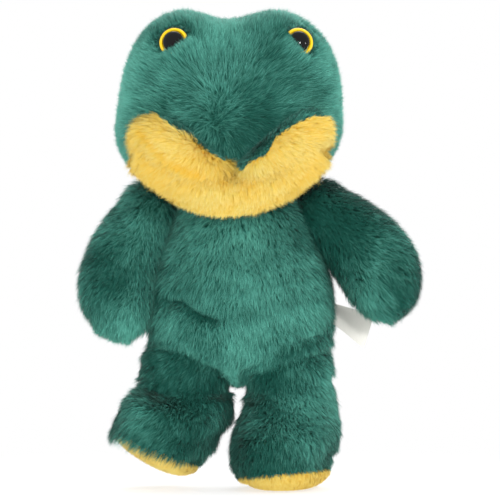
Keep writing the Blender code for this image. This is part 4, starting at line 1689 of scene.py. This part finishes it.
@dataclass(frozen=True)
class Label:
    """The bare satin label in the side seam."""

    width: float = 0.021
    length: float = 0.029
    tuck: float = 0.006
    place: tuple[float, float, float] = (0.0525, 0.003, 0.113)
    sag: float = 0.0165
    sag_power: float = 0.95
    curl: float = 0.003
    turn: float = math.radians(28.6)
    root_curve: float = 2.4
    twist: float = math.radians(50)
    lean: tuple[float, float] = (0.6, 0.8)
    steps: int = 40
    across_steps: int = 16

    def build(self) -> None:
        """Makes the label as one fine sheet of ribbon."""
        rows = []
        for k in range(self.steps + 1):
            share = k / self.steps
            run = share * (self.length + self.tuck)
            drop = self.sag * share**self.sag_power
            bow = self.curl * math.sin(math.pi * share)
            centre = np.array((math.sqrt(1 - (self.sag / self.length) ** 2 * share) * run, bow, -drop))
            turn = self.turn * share
            across = np.array((math.sin(turn) * self.lean[0], math.sin(turn) * self.lean[1], math.cos(turn)))
            twist = self.twist * (1 - share**2)
            across = across * math.cos(twist) + np.array((0, math.sin(twist), 0))
            curve = self.root_curve * (1 - share) ** 1.5 + 0.35
            angles = np.linspace(-0.5, 0.5, self.across_steps + 1)[:, None] * curve
            side, depth = np.sin(angles) * self.width / curve, (np.cos(angles) - 1) * self.width / curve
            rows.append(centre + across * side + np.array((0.3, 1.0, 0.0)) * depth)
        vertices = np.vstack(rows) + np.array(self.place) + FRAME_PLACE
        count = self.across_steps + 1
        grid = np.arange(len(vertices)).reshape(-1, count)
        a, b, c, d = grid[:-1, :-1], grid[1:, :-1], grid[1:, 1:], grid[:-1, 1:]
        triangles = two_triangles(a, b, c, d)
        piece = add_piece("label_ribbon", vertices, triangles, SATIN, "torso")
        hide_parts("care_label")
        LOG.info("torso: label")


# Arms


@dataclass(frozen=True)
class Arm:
    """One arm: hide, filling and fur."""

    side: Side
    rest: float
    shoulder_side: float
    seed: int
    shoulder_back: float = 0.001
    shoulder_height: float = 0.172
    shoulder_radius: float = 0.0215
    length: float = 0.085
    half_width: float = 0.0265
    half_depth: float = 0.0235
    bend: float = 0.0055
    tip_bend: float = -0.35
    forward: float = 11.0
    creases: tuple[Crease, ...] = ()
    patches: tuple[Patch, ...] = ()
    base_tone: float = 0.0
    top_tone: float = 0.0
    top_band: tuple[float, float] = (0.0, 1.0)
    shares: tuple[tuple[float, float, float, float], ...] = (
        (0.16, 0.880, 0.941, 0.63),
        (0.35, 0.950, 0.968, 1.0),
        (0.53, 1.0, 0.990, 0.90),
        (0.69, 0.985, 0.985, 0.55),
        (0.84, 0.825, 0.845, 0.14),
        (0.95, 0.500, 0.530, -0.18),
    )

    @property
    def matrix(self) -> Matrix:
        """Where the arm hangs: its shoulder centre, with -Z towards the paw.

        Returns:
            The matrix from the arm's own frame to the frog's.
        """
        place = Vector((self.side.value * self.shoulder_side, self.shoulder_back, self.shoulder_height))
        place += Vector(FRAME_PLACE)
        turn = Vector((-math.radians(self.forward), -self.side.value * math.radians(self.rest), 0))
        from_turn = Matrix.Rotation(turn.y, 4, "Y") @ Matrix.Rotation(turn.x, 4, "X")
        return Matrix.Translation(place) @ from_turn

    def form(self, segments: int, steps: int) -> Form:
        """The arm's outer form.

        Args:
            segments: the number of points in a section.
            steps: the number of steps between two given sections.

        Returns:
            The form.
        """
        rows = [(0.0, self.shoulder_radius, self.shoulder_radius, 0.0)]
        rows += [
            (-run * self.length, width * self.half_width, depth * self.half_depth, bend * self.bend)
            for run, width, depth, bend in self.shares
        ]
        rings = round_cap(self.shoulder_radius, self.shoulder_radius, 0, 8, segments)[::-1]
        side = self.side.value
        smooth = smooth_rows(rows, steps)
        for height, width, depth, bend in smooth:
            rings.append(level((side * bend, 0, height), (width, width, depth, depth), 2, segments))
        last = smooth[-1]
        for share in (0.3, 0.6, 0.85):
            height = last[0] + (-self.length - last[0]) * (1 - math.sqrt(1 - share * share)) ** 0.9
            left = math.sqrt(1 - ((height - last[0]) / (-self.length - last[0])) ** 1.5)
            bend = last[3] + (self.tip_bend * self.bend - last[3]) * share
            width, depth = last[1] * left, last[2] * left
            rings.append(level((side * bend, 0, height), (width, width, depth, depth), 2, segments))
        tip = (side * self.tip_bend * self.bend, 0, -self.length)
        return Form.loft(rings, (0, 0, self.shoulder_radius), tip).moved(self.matrix)

    def build(self) -> None:
        """Makes the arm's pieces."""
        word = "arm_" + self.side.word
        outer = self.form(72, 7)
        folds = sum(crease.share(outer.vertices) * crease.depth for crease in self.creases)
        hide = outer.inset(HIDE_DEPTH + folds)
        add_padded(word + "_hide", hide, GREEN_KNIT, word, word + "_skin")
        add_padded(word + "_filling", outer.inset(FILLING_DEPTH), WADDING, word, word + "_stuffing")
        LONG_PILE.grow(word + "_fur", hide, word, self.flow, seed=self.seed, tone=self.tone)
        LOG.info("%s: hide, filling and fur", word)

    def flow(self, places: Points, normals: Points) -> Points:
        """The fur runs along the arm towards the paw and a little outwards.

        Args:
            places: places on the hide, in the frog's frame.
            normals: the hide's normals there; not used.

        Returns:
            The direction at each place.
        """
        down = np.array(self.matrix.to_3x3() @ Vector((0, 0, -1)))
        axis_point = np.array(self.matrix.to_translation())
        along = (places - axis_point) @ down
        out = unit(places - axis_point - along[:, None] * down)
        return down + out * 0.15 + np.array((self.side.value * 0.15, 0, -0.15))

    def tone(self, places: Points, normals: Points) -> Points:
        """The arm's own tone, another one near its shoulder, its patches, painted shade along its folds and
        painted rim light at its outline.

        Args:
            places: places on the hide, in the frog's frame.
            normals: the hide's normals there.

        Returns:
            What it adds to the tone.
        """
        down = np.array(self.matrix.to_3x3() @ Vector((0, 0, -1)))
        along = (places - np.array(self.matrix.to_translation())) @ down / self.length
        front = places[:, 1] < 0.01
        tone = sum(patch.at(places) for patch in self.patches) * front
        tone = tone - sum(crease.shadow * crease.share(places) for crease in self.creases)
        tone = tone + RIM_LIGHT * facing_aside(normals)
        return tone + self.base_tone + self.top_tone * (1 - smoothstep(*self.top_band, along)) * front


# Legs and soles


@dataclass(frozen=True)
class Leg:
    """One leg: hide, filling, fur and sole."""

    side: Side
    toe_out: float
    roll: float
    splay: float
    raised: float
    sole_side: float
    sole_front: float
    seed: int
    sole: float = 0.0085
    hip_side: float = 0.0312
    hip_radius: float = 0.0305
    foot_half_width: float = 0.0306
    foot_front: float = 0.052
    foot_back: float = 0.034
    foot_pivot: float = 0.0364
    under_power: float = 3.0
    outer_line: tuple[tuple[float, float], ...] = ()
    inner_line: tuple[tuple[float, float], ...] = ()
    patches: tuple[Patch, ...] = ()
    trims: tuple[Patch, ...] = ()
    shade: float = -0.20
    sideways: float = 0.1
    hip_trim: tuple[float, float, float] = (0.3, 0.078, 0.010)
    sole_trim: float = 0.45
    sole_band: tuple[float, float] = (0.001, 0.012)
    overhang_growth: float = 0.30
    overhang_band: tuple[float, float] = (0.002, 0.008)
    overhang: tuple[float, float] = (0.0, 0.1)
    overhang_share: float = 0.0
    under_shares: tuple[float, ...] = (0.0, 0.03, 0.09, 0.18, 0.28, 0.45, 0.62, 0.8)
    flat_cut: float = 0.0005
    seam_height: float = 0.002
    shares: tuple[tuple[float, float, float, float, float], ...] = (
        (0.90, 0.865, 0.610, 0.885, 1.0),
        (0.78, 0.845, 0.680, 0.860, 1.0),
        (0.67, 0.860, 0.770, 0.855, 0.96),
        (0.57, 0.925, 0.870, 0.900, 0.91),
        (0.46, 0.980, 0.960, 0.970, 0.87),
        (0.335, 1.0, 1.0, 1.0, 0.87),
    )

    @property
    def hip(self) -> Points:
        """The hip's centre."""
        return np.array((self.side.value * self.hip_side, 0, HIP_HEIGHT)) + FRAME_PLACE

    def form(self, segments: int, steps: int) -> Form:
        """The leg's outer form: a round root, a short shank and a rounded foot.

        Args:
            segments: the number of points in a section.
            steps: the number of steps between two given sections.

        Returns:
            The form, straight and about the hip's centre.
        """
        rows = [(0.0, self.hip_radius, self.hip_radius, self.hip_radius, 2.0)]
        for height, width, front, back, roundness in self.shares:
            sizes = (width * self.foot_half_width, front * self.foot_front, back * self.foot_back)
            rows.append((height * HIP_HEIGHT - HIP_HEIGHT, *sizes, 2.0 / roundness))
        smooth = [tuple(row) for row in smooth_rows(rows, steps)]
        top = HIP_HEIGHT * self.shares[-1][0]
        middle = (self.foot_back - self.foot_front) / 2
        for share in reversed(self.under_shares):
            height = share * top
            rise = (height + self.flat_cut) / (top + self.flat_cut)
            reach = (1 - (1 - rise) ** self.under_power) ** (1 / self.under_power)
            half = (self.foot_back + self.foot_front) / 2 * reach
            sizes = (reach * self.foot_half_width, half - middle, half + middle)
            smooth.append((height - HIP_HEIGHT, *sizes, 2.0 / self.shares[-1][4]))
        rings = round_cap(self.hip_radius, self.hip_radius, 0, 8, segments)[::-1]
        for height, width, front, back, power in smooth:
            share = min(1.0, -height / HIP_HEIGHT / self.shares[3][0])
            blend = share * share * (3 - 2 * share)
            turn = np.array(Matrix.Rotation(self.side.value * math.radians(self.toe_out) * blend, 3, "Z"))
            ring = level((0, 0, height), (width, width, back, front), power, segments) @ turn.T
            ring[:, 0] += self.side.value * self.splay * blend
            rings.append(ring)
        return Form.loft(rings, (0, 0, self.hip_radius), None)

    def rolled(self, points: Points, back: bool = False) -> Points:
        """Points of the straight leg on the leg with its foot rolled and raised, or back again for the foot.

        Args:
            points: points about the hip's centre, or in the frame to go back.
            back: True to go back.

        Returns:
            The moved points.
        """
        points = points - self.hip if back else points
        share = np.clip(-points[:, 2] / HIP_HEIGHT / self.shares[3][0], 0, 1)
        blend = np.ones(len(points)) if back else share * share * (3 - 2 * share)
        turn = -self.side.value * math.radians(self.roll) * blend
        none = 0 * blend
        pivot = np.stack([self.side.value * self.splay * blend, none, self.foot_pivot - HIP_HEIGHT + none], 1)
        lift = np.stack([none, none, self.raised * blend], 1)
        turn, local = (-turn, points - pivot - lift) if back else (turn, points - pivot)
        x = local[:, 0] * np.cos(turn) + local[:, 2] * np.sin(turn)
        z = -local[:, 0] * np.sin(turn) + local[:, 2] * np.cos(turn)
        moved = np.stack([x, local[:, 1], z], axis=1) + pivot
        return moved if back else moved + lift + self.hip

    def sole_share(self, places: Points) -> Points:
        """Height above the sole's upper edge, for places on the foot.

        Args:
            places: places in the frog's frame.

        Returns:
            The height of each place.
        """
        local = self.rolled(places, back=True)
        edge = self.sole + self.sole_side * local[:, 0] - self.sole_front * local[:, 1]
        return local[:, 2] + HIP_HEIGHT - edge

    def build(self) -> None:
        """Makes the leg's pieces."""
        word = "leg_" + self.side.word
        straight = self.form(80, 6)
        outer = Form(self.rolled(straight.vertices), straight.triangles)
        above = smoothstep(0.000, 0.006, self.sole_share(outer.vertices))
        depth = LOW_PILE_DEPTH + (HIDE_DEPTH - LOW_PILE_DEPTH) * above
        hide = self.fuller(outer.inset(depth))
        centres = hide.vertices[hide.triangles].mean(axis=1)
        under = self.sole_share(centres) < 0.0003
        sole = "sole_" + self.side.word
        add_padded(word + "_hide", hide, GREEN_KNIT, word, word + "_skin", hide.triangles[~under])
        add_padded(sole + "_hide", hide, SOLE_KNIT, word, sole, hide.triangles[under])
        core = Form(self.rolled(straight.inset(FILLING_DEPTH).vertices), straight.triangles)
        add_padded(word + "_filling", core, WADDING, word, word + "_stuffing")
        LONG_PILE.grow(
            word + "_fur",
            hide,
            word,
            self.flow,
            seed=self.seed,
            keep=lambda places, normals: self.sole_share(places) > self.seam_height,
            tone=self.tone,
            size=self.size,
        )
        SHORT_PILE.grow(
            sole + "_fur",
            hide,
            word,
            self.sole_flow,
            seed=self.seed + 5,
            keep=lambda places, normals: self.sole_share(places) < self.seam_height,
        )
        LOG.info("%s: hide, filling, fur and sole", word)

    def size(self, places: Points, normals: Points) -> Points:
        """Shorter fur beside the sole and at the hip's outer side.

        Args:
            places: places on the hide, in the frog's frame.
            normals: the hide's normals there.

        Returns:
            The share of the usual length.
        """
        cut, middle, band = self.hip_trim
        hip = np.exp(-(((places[:, 2] - middle) / band) ** 2)) * np.clip(self.side.value * normals[:, 0], 0, 1)
        above = self.sole_share(places)
        short = self.sole_trim + (1 - self.sole_trim) * smoothstep(*self.sole_band, above)
        hung = smoothstep(*self.overhang, places[:, 0]) * self.overhang_share
        trimmed = 1 + sum(trim.at(places) for trim in self.trims)
        longer = 1 + self.overhang_growth * hung * (1 - smoothstep(*self.overhang_band, above))
        return (short + (1 - short) * hung) * longer * (1 - cut * hip) * trimmed

    def fuller(self, hide: Form) -> Form:
        """The hide filled out sideways, at the bend between hip and foot, up to the leg's own outline.

        Args:
            hide: the hide as it follows the cut form.

        Returns:
            The filled hide.
        """
        vertices = hide.vertices.copy()
        for way, line in ((self.side.value, self.outer_line), (-self.side.value, self.inner_line)):
            rows = np.array(line)
            levels = np.linspace(rows[0, 0], rows[-1, 0], 30)
            near = np.abs(hide.vertices[:, 2][:, None] - levels[None]) < 0.0035
            reach = np.where(near, way * hide.vertices[:, 0][:, None], -1).max(axis=0)
            wanted = way * np.interp(levels, rows[:, 0], rows[:, 1])
            lack = np.where(reach > -1, np.maximum(wanted - reach, 0), 0)
            lack = np.convolve(np.pad(lack, 2, mode="edge"), np.ones(5) / 5, mode="valid")
            facing = smoothstep(0.0, 0.8, way * hide.normals[:, 0])
            vertices[:, 0] += way * facing * np.interp(hide.vertices[:, 2], levels, lack, left=0, right=0)
        return Form(vertices, hide.triangles)

    def flow(self, places: Points, normals: Points) -> Points:
        """The fur runs down the leg and out over the foot.

        Args:
            places: places on the hide, in the frog's frame.
            normals: the hide's normals there; not used.

        Returns:
            The direction at each place.
        """
        local = places - self.hip
        low = (1 - smoothstep(0.035, 0.070, places[:, 2]))[:, None]
        out = unit(local * np.array((1, 1, 0)))
        lean = np.array((self.side.value * self.sideways, 0, 0))
        return np.array((0, 0, -1.0)) + out * 0.7 * low + lean

    def sole_flow(self, places: Points, normals: Points) -> Points:
        """The sole's short fur lies down and in under the foot."""
        return np.array((0, 0, -1.0)) - unit((places - self.hip) * np.array((1, 1, 0))) * 0.5

    def tone(self, places: Points, normals: Points) -> Points:
        """The legs' fur lies darker than the belly's, with painted rim light at the outline and lighter and darker
        patches in front, partly painted shade in the fold over the foot and painted light on its outer side.
        """
        return self.shade + RIM_LIGHT * facing_aside(normals) + sum(patch.at(places) for patch in self.patches)


# Studio


@dataclass(frozen=True)
class Studio:
    """A plain pale floor, a white backdrop, soft lamps and the camera."""

    floor_half: float = 1.0
    floor_glow: float = 0.66
    floor_light: float = 0.92
    floor_fade: tuple[float, float] = (0.09, 0.34)
    lens: float = 406.5
    distance: float = 3.5
    aim: tuple[float, float, float] = (0.00024, 0.0, 0.1486)
    rise: float = 2.0
    air_light: float = 0.95

    def build(self) -> None:
        """Makes the floor, the lights, the backdrop and the camera."""
        self.floor()
        self.lamp("key_lamp", (0.55, -1.25, 0.62), 0.20, 6.5)
        self.lamp("side_lamp", (1.5, -0.8, 0.50), 0.18, 3.5)
        self.lamp("fill_lamp", (-0.3, -1.3, 0.02), 0.9, 9.0).visible_glossy = False
        self.lamp("back_lamp", (0.1, 1.1, 1.4), 1.0, 12.0)
        self.backdrop()
        self.camera()

    def floor(self) -> None:
        """Lays the softly glowing floor that takes the frog's shadow."""
        bpy.ops.mesh.primitive_plane_add(size=2 * self.floor_half)
        floor = bpy.context.object
        floor.name = "studio_floor"
        paint = PlasticFinish("floor_paint", "", (0.42, 0.42, 0.42), 0.9).material()
        nodes, links = paint.node_tree.nodes, paint.node_tree.links
        nodes["Principled BSDF"].inputs["Emission Color"].default_value = (1, 1, 1, 1)
        seen = nodes.new("ShaderNodeLightPath")
        glow = nodes.new("ShaderNodeMapRange")
        glow.inputs["To Min"].default_value = self.floor_light
        glow.inputs["To Max"].default_value = self.floor_glow
        links.new(seen.outputs["Is Camera Ray"], glow.inputs["Value"])
        links.new(glow.outputs["Result"], nodes["Principled BSDF"].inputs["Emission Strength"])
        place = nodes.new("ShaderNodeTexCoord")
        away = nodes.new("ShaderNodeVectorMath")
        away.operation = "LENGTH"
        links.new(place.outputs["Object"], away.inputs[0])
        fade = nodes.new("ShaderNodeMapRange")
        fade.interpolation_type = "SMOOTHSTEP"
        fade.inputs["From Min"].default_value = self.floor_fade[0]
        fade.inputs["From Max"].default_value = self.floor_fade[1]
        links.new(away.outputs["Value"], fade.inputs["Value"])
        clear = nodes.new("ShaderNodeBsdfTransparent")
        mix = nodes.new("ShaderNodeMixShader")
        links.new(fade.outputs["Result"], mix.inputs["Fac"])
        links.new(nodes["Principled BSDF"].outputs["BSDF"], mix.inputs[1])
        links.new(clear.outputs["BSDF"], mix.inputs[2])
        links.new(mix.outputs["Shader"], nodes["Material Output"].inputs["Surface"])
        floor.data.materials.append(paint)

    def lamp(self, name: str, place: tuple[float, float, float], size: float, power: float) -> bpy.types.Object:
        """Hangs one soft lamp that faces the frog's middle.

        Args:
            name: the lamp's name.
            place: where it hangs, in metres.
            size: the side of its square face, in metres.
            power: its power in watts.

        Returns:
            The lamp.
        """
        light = bpy.data.lights.new(name, "AREA")
        light.size = size
        light.energy = power
        stand = bpy.data.objects.new(name, light)
        stand.location = place
        aim = Vector((0, 0, 0.15)) - Vector(place)
        stand.rotation_euler = aim.to_track_quat("-Z", "Y").to_euler()
        bpy.context.scene.collection.objects.link(stand)
        return stand

    def backdrop(self) -> None:
        """Makes the surroundings white for the camera and softly lit for the frog."""
        world = bpy.data.worlds.new("studio_air")
        world.use_nodes = True
        nodes, links = world.node_tree.nodes, world.node_tree.links
        nodes.clear()
        soft = nodes.new("ShaderNodeBackground")
        soft.inputs["Color"].default_value = (1, 1, 1, 1)
        soft.inputs["Strength"].default_value = self.air_light
        white = nodes.new("ShaderNodeBackground")
        white.inputs["Color"].default_value = (1, 1, 1, 1)
        white.inputs["Strength"].default_value = 1.0
        path = nodes.new("ShaderNodeLightPath")
        mix = nodes.new("ShaderNodeMixShader")
        out = nodes.new("ShaderNodeOutputWorld")
        links.new(path.outputs["Is Camera Ray"], mix.inputs["Fac"])
        links.new(soft.outputs["Background"], mix.inputs[1])
        links.new(white.outputs["Background"], mix.inputs[2])
        links.new(mix.outputs["Shader"], out.inputs["Surface"])
        bpy.context.scene.world = world

    def camera(self) -> None:
        """Sets up the camera in front of the frog."""
        scene = bpy.context.scene
        scene.view_settings.view_transform = "Standard"
        lens = bpy.data.cameras.new("camera")
        lens.lens = self.lens
        lens.clip_start = 0.01
        stand = bpy.data.objects.new("camera", lens)
        back = Vector((0, -math.cos(math.radians(self.rise)), math.sin(math.radians(self.rise))))
        stand.location = Vector(self.aim) + back * self.distance
        stand.rotation_euler = (-back).to_track_quat("-Z", "Y").to_euler()
        scene.collection.objects.link(stand)
        scene.camera = stand


def main() -> None:
    """Builds the frog's pieces in order and the studio round them."""
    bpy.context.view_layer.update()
    Studio().build()
    Head().build()
    Torso().build()
    Label().build()
    # The paw's fold is a shallow dent with painted shade along it.
    paw_fold = Crease(((0.0852, 0.1309), (0.0883, 0.1271), (0.0914, 0.1160)), 0.0018, 0.0022, 0.55)
    # Patches on the arm, partly the fur's own lie and partly painted shade and painted light.
    nap_and_shade_patches = (Patch((0.0530, 0.1640), (0.022, 0.012), -0.14), Patch((0.0690, 0.1240), (0.012, 0.014), 0.16))
    Arm(
        Side.LEFT,
        rest=41.5,
        shoulder_side=0.0505,
        creases=(paw_fold,),
        patches=nap_and_shade_patches,
        base_tone=-0.42,
        top_tone=-0.22,
        top_band=(0.05, 0.60),
        seed=41,
    ).build()
    armpit_line = ((-0.0543, 0.1520), (-0.0568, 0.1345), (-0.0540, 0.1260), (-0.0600, 0.1040))
    # The armpit has no dent: only painted shade where the arm meets the body.
    armpit_shade = Crease(armpit_line, 0.0024, 0.0, 0.50)
    middle_patch = Patch((-0.0760, 0.1310), (0.012, 0.015), -0.30)
    Arm(
        Side.RIGHT,
        rest=18.0,
        shoulder_side=0.054,
        creases=(armpit_shade,),
        patches=(middle_patch,),
        base_tone=-0.14,
        top_tone=0.10,
        top_band=(0.1, 0.5),
        seed=42,
    ).build()
    Leg(
        Side.LEFT,
        toe_out=-6.0,
        roll=0.0,
        splay=-0.0025,
        raised=0.0,
        sole_side=0.09,
        sole_front=0.05,
        outer_line=((0.0250, 0.0500), (0.0378, 0.0524), (0.0502, 0.0499), (0.0626, 0.0483), (0.0750, 0.0480)),
        inner_line=((0.0080, -0.0063), (0.0254, -0.0073), (0.0378, -0.0053), (0.0502, 0.0005), (0.0560, 0.0008)),
        # The dark patch over the foot is painted shade under the shin; the light one above is painted light.
        patches=(Patch((0.0200, 0.0220), (0.034, 0.012), -0.22), Patch((0.0240, 0.0560), (0.016, 0.014), 0.08)),
        shade=-0.31,
        seed=51,
    ).build()
    Leg(
        Side.RIGHT,
        toe_out=12.0,
        roll=31.0,
        splay=0.0061,
        raised=0.0117,
        sole_side=0.16,
        sole_front=0.04,
        outer_line=(
            (0.0502, -0.0780),
            (0.0564, -0.0736),
            (0.0626, -0.0695),
            (0.0688, -0.0664),
            (0.0750, -0.0645),
            (0.0830, -0.0636),
        ),
        inner_line=((0.0254, -0.0240), (0.0378, -0.0195), (0.0420, -0.0140), (0.0502, -0.0137), (0.0570, -0.0125)),
        # The light patches on the leg's outer side are painted light; the dark one is painted shade in the fold
        # over the foot.
        patches=(
            Patch((-0.0710, 0.0560), (0.014, 0.016), 0.24),
            Patch((-0.0620, 0.0330), (0.013, 0.010), 0.14),
            Patch((-0.0370, 0.0430), (0.018, 0.016), -0.20),
        ),
        trims=(
            Patch((-0.0820, 0.0570), (0.009, 0.008), -0.55),
            Patch((-0.0125, 0.0610), (0.007, 0.007), -0.50),
        ),
        shade=-0.42,
        sideways=0.35,
        overhang=(-0.036, -0.048),
        overhang_share=1.0,
        seed=61,
    ).build()


if __name__ == "__main__":
    main()
